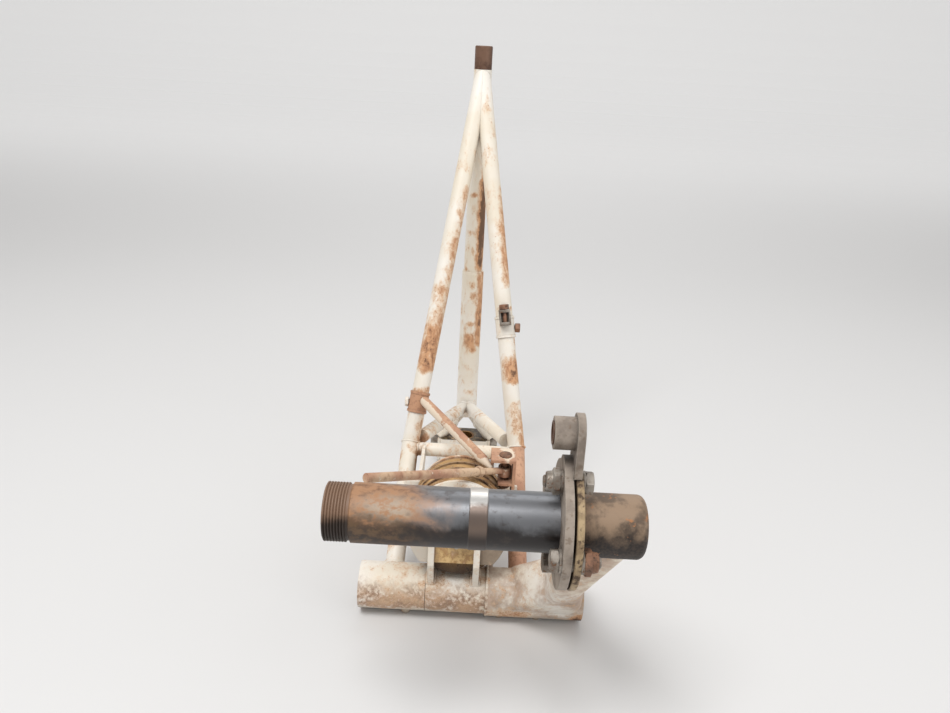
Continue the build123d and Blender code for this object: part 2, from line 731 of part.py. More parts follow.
# Through bolt of the stack, held in the head, with its nut in front of the pad
bolt_af = 19.0
bolt_head_length = 8.0
bolt_washer = 2.0
front_gap = 0.3
nut_start = -pad_thickness - front_gap - bolt_washer
shock_nut_length = 10.0
head_seat_at = head_start + head_thickness + bolt_washer
bolt_seat = stack_origin + stack_axis * head_seat_at
shank_length = head_seat_at - nut_start + shock_nut_length + 5.0
write(bolt(bolt_seat, stack_axis, shock_bolt_d, shank_length, bolt_af, bolt_head_length), "shock_bolt")
rear_washer = stack_disc(head_start + head_thickness, bolt_washer, 25.4, shock_bolt_d)
front_washer = stack_disc(nut_start, bolt_washer, 27.0, shock_bolt_d)
nut_origin = stack_origin + stack_axis * nut_start
shock_nut = hex_prism(nut_origin, stack_axis * -1, bolt_af, shock_nut_length, shock_bolt_d)
write(group(rear_washer, front_washer, shock_nut), "shock_bolt_nut")

# Pad on the link, in front of the stack, and the two webs that carry it
pad_foot_z = stack_z - pad_foot_drop
with BuildPart() as shock_pad:
    add(stack_disc(-pad_thickness, pad_thickness, plate_d, plate_hole_d))
    split(bisect_by=Plane.XY.offset(pad_foot_z), keep=Keep.TOP)
write(shock_pad.part, "shock_pad")
web_thickness = 5.0
web_places = {"left": -20.0, "right": 16.3}
foot_z = hinge_z + 13.0
stack_room = stack_disc(-side_gap, 60.0, plate_d + 8.0, 0)
link_shape = along_x(link_tube_x0, link_tube_x1, hinge_tube_d, hinge_y, hinge_z)
boss_room = along_x(left_boss_x0, link_tube_x0, hinge_tube_d + 60.0, hinge_y, hinge_z)
pad_front = stack_origin - stack_axis * pad_thickness
web_top = pad_front + head_up * 22.0
for name, x in web_places.items():
    with BuildPart() as web:
        with BuildSketch(Plane(origin=(x - web_thickness / 2, 0, 0), x_dir=(0, 1, 0), z_dir=(1, 0, 0))):
            with BuildLine():
                Polyline(
                    (web_top.Y, web_top.Z),
                    (web_top.Y - 5.0, web_top.Z),
                    (hinge_y - 22.0, hinge_z + 38.0),
                    (hinge_y - 13.5, foot_z),
                    (hinge_y + 2.0, foot_z),
                    (hinge_y + 2.0, web_top.Z),
                    close=True,
                )
            make_face()
        extrude(amount=web_thickness)
        for room in (link_shape, boss_room, shock_pad.part, stack_room):
            add(room, mode=Mode.SUBTRACT)
    web_solid = web.solids().sort_by(SortBy.VOLUME)[-1]
    write(Part([web_solid]), f"{name}_pad_web")

# Clamps round the drag tubes
clamp_d = drag_d + 1.9
clamp_bolt_d = 4.8
clamp_af = 8.0
clamp_head = 3.4
head_stand = 0.3
clamp_shank = head_stand + 0.45
left_drag_run = (Vector(-joint_x, joint_y, joint_z) - apex).normalized()
right_drag_run = (Vector(joint_x, joint_y, joint_z) - apex).normalized()


def on_drag_tube(side, z):
    """The point of a drag tube's centre line at a height."""
    share = (apex.Z - z) / (apex.Z - joint_z)
    return Vector(joint_x * side * share, apex.Y + (joint_y - apex.Y) * share, z)


left_clamp_z, left_clamp_length = 129.5, 19.5
brace_start_z = 134.5
left_clamp_at = on_drag_tube(-1, left_clamp_z)
clamp_rim = 0.9
clamp_lip = 2.2


def collar(centre, run, length):
    """A sleeve round a drag tube with a raised rim at both ends."""
    first, last = centre - run * (length / 2), centre + run * (length / 2)
    with BuildPart() as sleeve:
        add(bar(first, last, clamp_d))
        add(bar(first, first + run * clamp_lip, clamp_d + clamp_rim))
        add(bar(last - run * clamp_lip, last, clamp_d + clamp_rim))
        add(bar(first, last, drag_d), mode=Mode.SUBTRACT)
    return sleeve.part


left_collar = collar(left_clamp_at, left_drag_run, left_clamp_length)
left_bolt_seat = left_clamp_at - Vector(clamp_d / 2 + head_stand, 0, 0)
left_clamp_bolt = bolt(left_bolt_seat, (-1, 0, 0), clamp_bolt_d, clamp_shank, clamp_af, clamp_head)
with BuildPart() as left_clamp:
    add(left_collar)
    add(left_clamp_bolt, mode=Mode.SUBTRACT)
write(left_clamp.part, "left_clamp")

right_clamp_z, right_clamp_length = 199.0, 20.0
right_clamp_at = on_drag_tube(1, right_clamp_z)
right_collar = collar(right_clamp_at, right_drag_run, right_clamp_length)
outwards = Vector(1, 0, 0).cross(right_drag_run).normalized()
outwards = outwards if outwards.Y < 0 else outwards * -1
sideways = outwards.cross(right_drag_run)
block_width, block_depth, block_length = 10.4, 9.0, 14.6
pocket_width, pocket_depth, pocket_length = 7.4, 4.6, 9.0
block_stand = clamp_d / 2 + block_depth / 2 - 1.0
block_centre = right_clamp_at - right_drag_run * 8.5 + outwards * block_stand
block_front = block_centre + outwards * (block_depth / 2)
with BuildPart() as clamp_block:
    with Locations(Plane(origin=block_centre, x_dir=sideways, z_dir=right_drag_run * -1)):
        Box(block_width, block_depth, block_length)
    fillet(clamp_block.faces().sort_by(Axis((0, 0, 0), outwards))[-1].edges(), 0.8)
    with Locations(Plane(origin=block_front, x_dir=sideways, z_dir=right_drag_run * -1)):
        Box(pocket_width, 2 * pocket_depth, pocket_length, mode=Mode.SUBTRACT)
    add(bar(right_clamp_at - right_drag_run * 30, right_clamp_at + right_drag_run * 20, clamp_d),
        mode=Mode.SUBTRACT)
block_seat = block_centre - right_drag_run * (block_length / 2) + outwards * 0.7
side_seat = right_clamp_at + Vector(clamp_d / 2 + head_stand, 0, 0)
block_bolt = bolt(block_seat, right_drag_run * -1, clamp_bolt_d, block_length, clamp_af, clamp_head + 1.4)
side_bolt = bolt(side_seat, (1, 0, 0), clamp_bolt_d, clamp_shank, clamp_af, clamp_head + 1.4)
with BuildPart() as block_piece:
    add(clamp_block.part)
    add(block_bolt, mode=Mode.SUBTRACT)
with BuildPart() as right_clamp:
    add(right_collar)
    for shape in (clamp_block.part, block_bolt, side_bolt):
        add(shape, mode=Mode.SUBTRACT)
write(right_clamp.part, "right_clamp")
write(block_piece.part, "right_clamp_block")
write(group(left_clamp_bolt, block_bolt, side_bolt), "clamp_bolts")

# Door rod bracket on the right leg: an upright plate with two flanges
gap_above, gap_below = 12.0, 7.0
bracket_sheet = 2.5
bracket_x1 = 45.0
top_flange_x0, low_flange_x0 = 24.5, 31.0
bracket_y0, bracket_y1 = rod_pivot.Y - 9.5, rod_pivot.Y + 12.0
lip_y0, lip_height = rod_pivot.Y - 1.0, 15.0
top_z = rod_pivot.Z + gap_above
low_z = rod_pivot.Z - gap_below - bracket_sheet
bracket_foot_z = 52.0


def block(x0, x1, y0, y1, z0, z1):
    """A rectangular block between its corners."""
    with BuildPart() as piece:
        with Locations(((x0 + x1) / 2, (y0 + y1) / 2, (z0 + z1) / 2)):
            Box(x1 - x0, y1 - y0, z1 - z0)
    return piece.part


upright = block(bracket_x1 - bracket_sheet, bracket_x1, bracket_y0, bracket_y1, bracket_foot_z, top_z)
top_flange = block(top_flange_x0, bracket_x1, bracket_y0, bracket_y1, top_z, top_z + bracket_sheet)
low_flange = block(low_flange_x0, bracket_x1, bracket_y0, bracket_y1, low_z, low_z + bracket_sheet)
lip = block(top_flange_x0, top_flange_x0 + bracket_sheet, lip_y0, bracket_y1, top_z - lip_height, top_z)
with BuildPart() as door_bracket:
    for sheet in (upright, top_flange, low_flange, lip):
        add(sheet)
    with Locations((rod_pivot.X, rod_pivot.Y, rod_pivot.Z)):
        Cylinder(rod_bolt_d / 2 + running_fit, 40.0, mode=Mode.SUBTRACT)
    add(leg_shapes["right"], mode=Mode.SUBTRACT)
    add(head_solid, mode=Mode.SUBTRACT)
bracket_solid = door_bracket.solids().sort_by(SortBy.VOLUME)[-1]
write(Part([bracket_solid]), "door_rod_bracket")

# Diagonal brace from the left clamp to the bracket, drawn out to a point
brace_d = 9.0
brace_tip_d = 3.0
brace_taper = 10.0
brace_start = on_drag_tube(-1, brace_start_z)
brace_drop, brace_inset = 8.5, 1.0
brace_end = Vector(top_flange_x0 - brace_inset, lip_y0 + brace_inset, top_z - brace_drop)
brace_run = (brace_end - brace_start).normalized()
brace_shoulder = brace_end - brace_run * brace_taper
with BuildPart() as brace_taper_shape:
    with BuildSketch(Plane(origin=brace_shoulder, z_dir=brace_run)):
        Circle(brace_d / 2)
    with BuildSketch(Plane(origin=brace_end + brace_run * 4.0, z_dir=brace_run)):
        Circle(brace_tip_d / 2)
    loft()
collar_shape = bar(left_clamp_at - left_drag_run * 40, left_clamp_at + left_drag_run * 40, clamp_d + clamp_rim)
with BuildPart() as door_brace:
    add(bar(brace_start, brace_shoulder, brace_d))
    add(brace_taper_shape.part)
    add(collar_shape, mode=Mode.SUBTRACT)
    add(bracket_solid, mode=Mode.SUBTRACT)
brace_solid = door_brace.solids().sort_by(SortBy.VOLUME)[-1]
write(Part([brace_solid]), "door_brace")

# Door rod: an eye on a bolt, a threaded shank, a jam nut and the rod itself
rod_run = (rod_end - rod_pivot).normalized()
eye_d, eye_height = 11.0, 8.0
thread_reach, jam_at, jam_af = 40.0, 37.0, 7.94
with BuildPart() as rod_eye:
    with Locations(rod_pivot):
        Cylinder(eye_d / 2, eye_height)
    add(bar(rod_pivot, rod_pivot + rod_run * thread_reach, rod_thread_d))
    with Locations(rod_pivot):
        Cylinder(rod_bolt_d / 2 + running_fit, eye_height + 10.0, mode=Mode.SUBTRACT)
write(rod_eye.part, "rod_eye")
jam_length = 5.0
jam_start = rod_pivot + rod_run * (jam_at - jam_length)
write(hex_prism(jam_start, rod_run, jam_af, jam_length, rod_thread_d), "rod_jam_nut")
with BuildPart() as door_rod:
    add(bar(rod_pivot + rod_run * jam_at, rod_end, rod_d))
    add(bar(rod_pivot, rod_pivot + rod_run * thread_reach, rod_thread_d), mode=Mode.SUBTRACT)
write(door_rod.part, "door_rod")
rod_bolt_seat = Vector(rod_pivot.X, rod_pivot.Y, top_z + bracket_sheet)
rod_nut_af, rod_nut_length, rod_bolt_reach = 10.0, 5.0, 7.0
rod_bolt_shank = top_z - low_z + bracket_sheet + rod_bolt_reach
round_head = bar(rod_bolt_seat, rod_bolt_seat + Vector(0, 0, 1.6), 11.0)
rod_shank = bar(rod_bolt_seat - Vector(0, 0, rod_bolt_shank), rod_bolt_seat, rod_bolt_d)
with BuildPart() as rod_bolt:
    add(round_head)
    add(rod_shank)
rod_nut = hex_prism(Vector(rod_pivot.X, rod_pivot.Y, low_z), (0, 0, -1), rod_nut_af, rod_nut_length, rod_bolt_d)
write(group(rod_bolt.part, rod_nut), "rod_bolt")
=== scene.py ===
# %% [markdown]
# # Main landing gear leg of a light aircraft
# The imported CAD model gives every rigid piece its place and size, in metres.
# This script adds what CAD leaves out: weld beads, chamfered bolts, the rubber
# discs' bulging rims, and above all the worn paint, rust and oily steel.
# Loading the frame leaves its nodes selected, so the first thing is to let go of them.

# %% Load the frame
import math

import bpy
from mathutils import Matrix, Quaternion, Vector


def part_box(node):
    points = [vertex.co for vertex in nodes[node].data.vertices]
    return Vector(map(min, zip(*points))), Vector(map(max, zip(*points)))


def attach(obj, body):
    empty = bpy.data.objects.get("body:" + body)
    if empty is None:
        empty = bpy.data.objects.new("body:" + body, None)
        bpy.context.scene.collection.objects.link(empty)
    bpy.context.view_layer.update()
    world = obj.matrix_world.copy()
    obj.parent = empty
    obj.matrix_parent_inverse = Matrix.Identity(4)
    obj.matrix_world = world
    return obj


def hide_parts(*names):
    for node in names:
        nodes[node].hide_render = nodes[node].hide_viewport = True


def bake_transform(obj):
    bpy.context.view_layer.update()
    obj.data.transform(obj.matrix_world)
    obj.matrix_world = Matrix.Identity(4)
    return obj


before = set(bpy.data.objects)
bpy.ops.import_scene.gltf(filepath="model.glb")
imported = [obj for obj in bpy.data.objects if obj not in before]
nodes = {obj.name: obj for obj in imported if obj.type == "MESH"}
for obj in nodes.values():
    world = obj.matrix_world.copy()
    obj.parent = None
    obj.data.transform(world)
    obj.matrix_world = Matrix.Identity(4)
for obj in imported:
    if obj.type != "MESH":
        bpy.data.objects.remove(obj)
bpy.ops.object.select_all(action="DESELECT")
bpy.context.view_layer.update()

# %% [markdown]
# ## Camera
# The photograph was taken from about the height of the leg's top, looking down.
# A camera looks along its own -Z, so it is tipped up 68 degrees from straight
# down, which leaves it 22 degrees below the horizon. A small roll about its own
# axis matches the tilt of the picture. A camera, a lamp and a mesh are all data
# that an object holds, so one helper puts each of them in the scene.

# %% Camera
SENSOR_WIDTH, LENS, CLIP_START = 36.0, 29.1, 0.01
CAMERA_PLACE = (0.0066, -0.775, 0.444)
CAMERA_TIP, CAMERA_ROLL = math.radians(68.0), math.radians(3.0)


def placed(name, data):
    """A new object of the scene that holds the data."""
    made = bpy.data.objects.new(name, data)
    bpy.context.scene.collection.objects.link(made)
    return made


camera_data = bpy.data.cameras.new("camera")
camera_data.sensor_width = SENSOR_WIDTH
camera_data.lens = LENS
camera_data.clip_start = CLIP_START
camera = placed("camera", camera_data)
tip = Matrix.Rotation(CAMERA_TIP, 4, "X")
roll = Matrix.Rotation(CAMERA_ROLL, 4, "Z")
camera.matrix_world = Matrix.Translation(CAMERA_PLACE) @ tip @ roll
bpy.context.scene.camera = camera
bpy.context.scene.view_settings.view_transform = "Standard"
print("camera at:", CAMERA_PLACE, "lens:", LENS, "mm")

# %% [markdown]
# ## A bench for finishes
# A finish is a tree of shader nodes. Written out node by node it is hard to read,
# so a small class wraps a socket and lets Python's own signs add the Math nodes.
# `edge * 0.4 + cloud` then makes two nodes. One method adds every other node.


# %% Sockets that can be added and multiplied
class Wire:
    """An output socket. Sums on it add Math nodes to the same tree."""

    def __init__(self, bench, socket):
        self.bench = bench
        self.socket = socket

    def maths(self, operation, first, second):
        return self.bench.node("ShaderNodeMath", {"operation": operation}, {0: first, 1: second})

    def __add__(self, other):
        return self.maths("ADD", self, other)

    __radd__ = __add__

    def __sub__(self, other):
        return self.maths("SUBTRACT", self, other)

    def __rsub__(self, other):
        return self.maths("SUBTRACT", other, self)

    def __mul__(self, other):
        return self.maths("MULTIPLY", self, other)

    __rmul__ = __mul__

    def most(self, other):
        return self.maths("MAXIMUM", self, other)

    def least(self, other):
        return self.maths("MINIMUM", self, other)


# %% [markdown]
# Colours are given as they look on a screen, from 0 to 255, because that is how
# they are read off a photograph. The shader wants linear light, so `tone` turns
# one into the other.


# %% Colours
def tone(red, green, blue):
    """A screen colour as linear light."""
    parts = [v / 255 for v in (red, green, blue)]
    return tuple(v / 12.92 if v < 0.04045 else ((v + 0.055) / 1.055) ** 2.4 for v in parts) + (1.0,)


print("middle grey in linear light:", round(tone(128, 128, 128)[0], 3))

# %% [markdown]
# Paint, rust and grease are built from the same few patterns: cloudy noise, worn
# edges, dirt and painted shade in corners, and soft patches in chosen places. The
# bench has a method for each. The renderer finds edges and corners by itself, with
# a Bevel node and with ambient occlusion, so no mask is painted by hand. A Mix node
# has several sockets of the same name, so its colour sockets go by their numbers.

# %% The bench
COLOUR_A, COLOUR_B, COLOUR_OUT = 6, 7, 2
EDGE_RADIUS, NOOK_REACH, BUMP_HEIGHT = 0.0007, 0.012, 0.0006
SPOT_FADE, STRIPE_FADE = (0.1, 1.15), (0.2, 1.15)


class Bench:
    """A material under construction, with the patterns that most finishes share."""

    def __init__(self, name):
        self.material = bpy.data.materials.new(name)
        self.material.use_nodes = True
        self.tree = self.material.node_tree
        self.shader = self.tree.nodes["Principled BSDF"]
        self.place = self.node("ShaderNodeTexCoord", {}, {}, "Object")
        self.rounded = None

    def node(self, kind, settings, values, outlet=0):
        """Adds a node: its settings first, then the values or links of its sockets."""
        made = self.tree.nodes.new(kind)
        for key, value in settings.items():
            setattr(made, key, value)
        for socket, value in values.items():
            self.feed(made.inputs[socket], value)
        return Wire(self, made.outputs[outlet])

    def feed(self, socket, value):
        """Links a wire to a socket, or sets the socket to a plain value."""
        if isinstance(value, Wire):
            self.tree.links.new(value.socket, socket)
        else:
            socket.default_value = value

    def vector(self, operation, values, outlet=0):
        """Vector Math, for places and directions."""
        return self.node("ShaderNodeVectorMath", {"operation": operation}, values, outlet)

    def along(self, axis):
        """The place on one axis, in metres."""
        return self.node("ShaderNodeSeparateXYZ", {}, {0: self.place}, "XYZ".index(axis))

    def noise(self, scale, detail, rough=0.55, stretch=(1, 1, 1), warp=0.0):
        """Cloudy noise with features of about one metre over scale."""
        place = self.place
        if stretch != (1, 1, 1):
            place = self.node("ShaderNodeMapping", {}, {"Vector": place, "Scale": stretch})
        values = {"Vector": place, "Scale": scale, "Detail": detail, "Roughness": rough, "Distortion": warp}
        return self.node("ShaderNodeTexNoise", {}, values)

    def ramp(self, value, low, high):
        """0 below low and 1 above high, with a smooth rise between."""
        values = {"Value": value, "From Min": low, "From Max": high}
        return self.node("ShaderNodeMapRange", {"interpolation_type": "SMOOTHSTEP"}, values)

    def past(self, value, place, fade):
        """0 before a place and 1 past it, with a rise that reaches a fade to each side."""
        return self.ramp(value, place - fade, place + fade)

    def mix(self, share, first, second):
        """A blend of two colours."""
        values = {0: share, COLOUR_A: first, COLOUR_B: second}
        return self.node("ShaderNodeMix", {"data_type": "RGBA"}, values, COLOUR_OUT)

    def spot(self, centre, size, strength):
        """A soft patch round a point. Centre and size are in millimetres."""
        away = self.vector("SUBTRACT", {0: self.place, 1: [v / 1000 for v in centre]})
        scaled = self.vector("MULTIPLY", {0: away, 1: [1000 / v for v in size]})
        far = self.vector("LENGTH", {0: scaled}, "Value")
        return (1 - self.ramp(far, *SPOT_FADE)) * strength

    def stripe(self, start, end, width, strength):
        """A soft patch along the line between two points, in millimetres."""
        first, last = Vector(start) / 1000, Vector(end) / 1000
        way = (last - first).normalized()
        away = self.vector("SUBTRACT", {0: self.place, 1: first})
        reach = self.vector("DOT_PRODUCT", {0: away, 1: way}, "Value")
        reach = reach.most(0.0).least((last - first).length)
        foot = self.vector("SCALE", {0: way, "Scale": reach})
        off = self.vector("SUBTRACT", {0: away, 1: foot})
        far = self.vector("LENGTH", {0: off}, "Value")
        return (1 - self.ramp(far * (1000 / width), *STRIPE_FADE)) * strength

    def patch(self, *shape):
        """A spot has three values and a stripe has four."""
        return self.spot(*shape) if len(shape) == 3 else self.stripe(*shape)

    def spots(self, *patches):
        """The strongest of several patches at each point."""
        total = self.patch(*patches[0])
        for shape in patches[1:]:
            total = total.most(self.patch(*shape))
        return total

    def edge(self, radius=EDGE_RADIUS):
        """1 on worn outer edges and 0 on flat ground. It also rounds the edges for the bump."""
        self.rounded = self.node("ShaderNodeBevel", {"samples": 4}, {"Radius": radius})
        true = self.node("ShaderNodeNewGeometry", {}, {}, "Normal")
        same = self.vector("DOT_PRODUCT", {0: self.rounded, 1: true}, "Value")
        return 1 - self.ramp(same, 0.80, 0.99)

    def nook(self, reach=NOOK_REACH):
        """1 deep in corners and between pieces, where dirt stays and where shade is painted in."""
        open_sky = self.node("ShaderNodeAmbientOcclusion", {"samples": 4}, {"Distance": reach}, "AO")
        return 1 - self.ramp(open_sky, 0.25, 0.85)

    def finish(self, colour, rough, metal=0.0, height=None, depth=0.3):
        """Wires the shader and returns the material."""
        self.feed(self.shader.inputs["Base Color"], colour)
        self.feed(self.shader.inputs["Roughness"], rough)
        self.feed(self.shader.inputs["Metallic"], metal)
        if height is not None:
            values = {"Height": height, "Strength": depth, "Distance": BUMP_HEIGHT}
            if self.rounded is not None:
                values["Normal"] = self.rounded
            self.feed(self.shader.inputs["Normal"], self.node("ShaderNodeBump", {}, values))
        print("finish:", self.material.name, "nodes:", len(self.tree.nodes))
        return self.material


# %% [markdown]
# ## Worn white paint
# The truss was sprayed off-white over bare steel. Rust has crept under the paint
# and stained it tan, and where the paint has flaked off the rust itself shows,
# orange where it is young and brown where it is old. A broad noise lets the white
# drift to cream. Three finer noises decide where the rust is: clouds for the
# stains, flecks for the flakes, and specks. `wear` raises all of them, patches
# raise them in chosen places, and `veil` is a layer of dirt that some pieces add,
# with painted shade in it on some. Corners get soot and painted shade.

# %% Colours of the paint and what lies under it
OFF_WHITE = tone(240, 234, 224)
CREAM = tone(232, 221, 202)
TAN_STAIN = tone(222, 192, 160)
ORANGE_RUST = tone(212, 162, 120)
BROWN_RUST = tone(184, 134, 98)
OLD_RUST = tone(98, 74, 58)
SOOT_AND_SHADE = tone(58, 47, 40)
print("lightest and darkest of the paint:", OFF_WHITE[:3], SOOT_AND_SHADE[:3])


# %% The paint's recipe
def worn_paint(name, wear, patches=(), clean=(), streaks=(1, 1, 1), veil=None):
    """White paint over rust. Streaks below 1 on an axis draw the pattern out along it."""
    b = Bench(name)
    drift = b.noise(16, 3)
    cloud = b.noise(58, 7, 0.66, streaks)
    fleck = b.noise(230, 7, 0.68, streaks, 0.3)
    speck = b.noise(760, 3)
    edge = b.edge()
    nook = b.nook()
    want = wear + nook * 0.10 + edge * 0.05
    if patches:
        want = want + b.spots(*patches)
    if clean:
        want = want - b.spots(*clean)
    worn = (cloud * 0.55 + fleck * 0.45 - 0.5) * 1.5 + 0.5 + want
    stained = b.ramp(worn, 0.50, 0.74)
    rusted = b.ramp(worn, 0.64, 0.92)
    colour = b.mix(b.ramp(drift, 0.36, 0.64), OFF_WHITE, CREAM)
    if veil is not None:
        colour = veil(b, colour, cloud, fleck)
    colour = b.mix(stained * 0.85, colour, TAN_STAIN)
    colour = b.mix(b.ramp(speck * 0.6 + worn * 0.4, 0.60, 0.66) * 0.7, colour, BROWN_RUST)
    colour = b.mix(rusted * 0.9, colour, b.mix(b.ramp(fleck, 0.42, 0.60), ORANGE_RUST, BROWN_RUST))
    colour = b.mix(b.ramp(worn + (speck - 0.5) * 0.3, 0.92, 1.10) * 0.9, colour, OLD_RUST)
    # Corners are darkened: soot there, and painted shade.
    colour = b.mix(nook * 0.45, colour, SOOT_AND_SHADE)
    rough = 0.46 + stained * 0.2 + rusted * 0.2
    height = speck * 0.25 + fleck * 0.35 - rusted * 0.4
    return b.finish(colour, rough, 0.0, height, 0.35)


# %% [markdown]
# Noise alone would spread the rust evenly, but on the real leg it follows stone
# chips, clamps and damp corners. So each tube has its own patches, in
# millimetres. A spot is a middle, a size along X, Y and Z, and a strength. A
# stripe is its two ends, a width and a strength. Where a length of tube is still
# sound, a clean patch takes the rust away again. Down the upright's right side,
# the stripes also paint shade.

# %% Where the truss has rusted, and where shade is painted on it
LEFT_TUBE_RUST = (
    ((-9, -45, 318), (-22.5, -81, 232), 8.5, 0.25),
    ((-24, -84, 228), (-29, -96, 198), 13, 0.31),
    ((-32, -99, 194), (-37.5, -113, 163), 15, 0.42),
    ((-38, -118, 142), (-41, -121, 138), 12, 0.38),
    ((-38, -124, 120), (-43, -134, 98), 9, 0.16),
    ((-43.5, -142, 88), (-45, -178, 66), 7, 0.38),
    ((-33, -88, 210), (-36, -92, 190), 8, 0.10),
)
RIGHT_TUBE_RUST = (
    ((21, -44, 318), (34, -79, 242), 8, 0.28),
    ((26, -60, 284), (28, -64, 274), 7, 0.30),
    ((33, -88, 217), (9, 14, 4), 0.32),
    ((42, -97, 188), (45, -106, 172), 5, 0.24),
    ((42, -108, 167), (44, -114, 157), 12, 0.40),
    ((47, -122, 133), (50, -131, 112), 10, 0.20),
    ((55, -128, 114), (57.5, -138, 88), 9, 0.32),
)
UPRIGHT_RUST_AND_SHADE = (
    # The stripes at x of 7 to 10 run down the upright's right side: rust, and painted shade on the side away
    # from the lamps.
    ((8, -7, 318), (8.5, -8, 234), 9, 0.62),
    ((7, -6, 345), (7, -7, 325), 7, 0.24),
    ((-1, -9.5, 307), (8, 8, 4), 0.33),
    ((-2, -10, 295), (6, 8, 6), 0.18),
    ((-4, -9, 268), (6, 6, 5), 0.26),
    ((-1, -9, 250), (4, 6, 7), 0.24),
    ((-7, -8, 230), (6, 6, 3), 0.24),
    ((10, -7, 224), (10, -7, 150), 8, 0.42),
    ((1, -11, 214), (5, 6, 6), 0.30),
    ((2, -11, 203), (5, 6, 6), 0.20),
    ((0, -11, 172), (5, 6, 4), 0.26),
    ((-1, -11, 155), (4, -11, 144), 7.5, 0.34),
    ((3, -12, 93), (9, 7, 5), 0.24),
    ((0, -24, 60), (22, 20, 20), 0.18),
)
STRUT_AND_HEAD_RUST = (
    ((-14, -45, 82), (16, 28, 12), 0.26),
    ((-36, -115, 96), (12, 20, 12), 0.18),
    ((-42, -128, 92), (18, 30, 12), 0.16),
    ((-57, -134, 92), (-59, -230, 40), 6, 0.18),
    ((-30, -138, 83), (34, -138, 83), 7, 0.26),
    ((-6, -142, 92), (12, 8, 6), 0.14),
    ((0, -186, 106), (42, 22, 22), 0.34),
    ((20, -42, 84), (34, -92, 92), 7, 0.12),
)
SOUND_PAINT = (
    ((-41, -110, 151.5), (22, 30, 9), 0.5),
    ((29.5, -82, 226), (22, 30, 9), 0.5),
    ((42, -113, 145), (22, 30, 10), 0.5),
    ((35, -97, 180), (22, 30, 11), 0.12),
)
TRUSS_RUST_AND_SHADE = LEFT_TUBE_RUST + RIGHT_TUBE_RUST + UPRIGHT_RUST_AND_SHADE + STRUT_AND_HEAD_RUST
print("patches of rust:", len(TRUSS_RUST_AND_SHADE), "sound patches:", len(SOUND_PAINT))

# %% Paint of the truss
truss_paint = worn_paint("worn_white_paint", 0.0, TRUSS_RUST_AND_SHADE, SOUND_PAINT, streaks=(1, 1, 0.55))

# %% [markdown]
# The right leg, the left clamp and the brace have lost most of their paint, and
# what is left is a dusty salmon colour of primer and rust with pale remnants.


# %% Primer and rust
def primer_rust(name, left_over, patches=(), ground=tone(204, 160, 130), pale_side=None):
    """Rusty primer with remnants of paint. A higher left_over leaves more of them."""
    b = Bench(name)
    drift = b.noise(30, 4)
    cloud = b.noise(85, 6, 0.6)
    fleck = b.noise(330, 5, 0.6)
    edge = b.edge()
    nook = b.nook()
    colour = b.mix(b.ramp(drift, 0.38, 0.62), ground, tone(182, 136, 110))
    colour = b.mix(b.ramp(fleck, 0.50, 0.66) * 0.55, colour, tone(146, 104, 80))
    keep = cloud * 0.6 + fleck * 0.4 + left_over
    if patches:
        keep = keep + b.spots(*patches)
    if pale_side is not None:
        across, middle = pale_side
        side = b.vector("DOT_PRODUCT", {0: b.place, 1: across}, "Value")
        keep = keep + (1 - b.past(side, middle, 0.0012)) * 0.2
    remnant = b.ramp(keep, 0.60, 0.68)
    colour = b.mix(remnant * 0.9, colour, tone(232, 216, 194))
    colour = b.mix(b.ramp(edge, 0.3, 0.9) * 0.3, colour, tone(214, 176, 140))
    # Corners are darkened: soot there, and painted shade.
    colour = b.mix(nook * 0.5, colour, SOOT_AND_SHADE)
    height = fleck * 0.5 + remnant * 0.3
    return b.finish(colour, 0.72 - remnant * 0.2, 0.0, height, 0.4)


# %% [markdown]
# Each piece in primer differs a little in colour. The brace is paler along its
# lower side, so it is split by a plane along its middle. The plane is given by
# the direction across it and its distance from the origin, in metres.

# %% Pieces in primer and rust
BRACE_ACROSS, BRACE_MIDDLE = (0.664, 0.315, 0.674), 0.0272
BRACE_REMNANTS = (
    ((21, -211, 119), (9, 8, 8), 0.5),
    ((-36, -120, 132), (-24, -139, 131), 5, 0.14),
)
LEG_REMNANT = ((43, -142, 88), (8, 14, 9), 0.4)
BRACKET_REMNANT = ((38, -209, 129.5), (9, 20, 5), 0.30)
salmon = primer_rust("salmon_primer_rust", -0.02, (LEG_REMNANT,))
clamp_rust = primer_rust("clamp_rust", -0.06, ground=tone(190, 144, 112))
bracket_finish = primer_rust("bracket_primer", 0.0, (BRACKET_REMNANT,), tone(208, 166, 134))
brace_finish = primer_rust(
    "brace_primer_rust", 0.02, BRACE_REMNANTS, tone(206, 164, 132), (BRACE_ACROSS, BRACE_MIDDLE)
)
rod_finish = primer_rust("door_rod_primer", 0.03, ground=tone(214, 184, 152))

# %% [markdown]
# ## Bare steel
# The journal and the flange are brown with an even, thin rust. The bolts are
# dull zinc, some of them rusted through. A metal finish is Metallic where the
# steel is clean, and not where rust covers it, because rust is not a metal.


# %% Brown steel and zinc
def rusted_steel(name, light, dark, spots_colour, amount=0.62, metal=0.35, scale=1.0):
    """Steel with rust spots. A lower amount gives more of them, and a higher scale smaller ones."""
    b = Bench(name)
    cloud = b.noise(70 * scale, 6, 0.6)
    fleck = b.noise(300 * scale, 5, 0.62)
    edge = b.edge(0.0005)
    nook = b.nook(0.008)
    colour = b.mix(b.ramp(cloud, 0.36, 0.64), light, dark)
    spotty = b.ramp(fleck * 0.65 + cloud * 0.35, amount - 0.05, amount + 0.04)
    colour = b.mix(spotty, colour, spots_colour)
    colour = b.mix(edge * 0.5, colour, light)
    # Corners are darkened: soot there, and painted shade.
    colour = b.mix(nook * 0.6, colour, SOOT_AND_SHADE)
    rough = 0.42 + spotty * 0.3 + cloud * 0.15
    return b.finish(colour, rough, metal - spotty * metal, fleck * 0.6 + spotty * 0.4, 0.25)


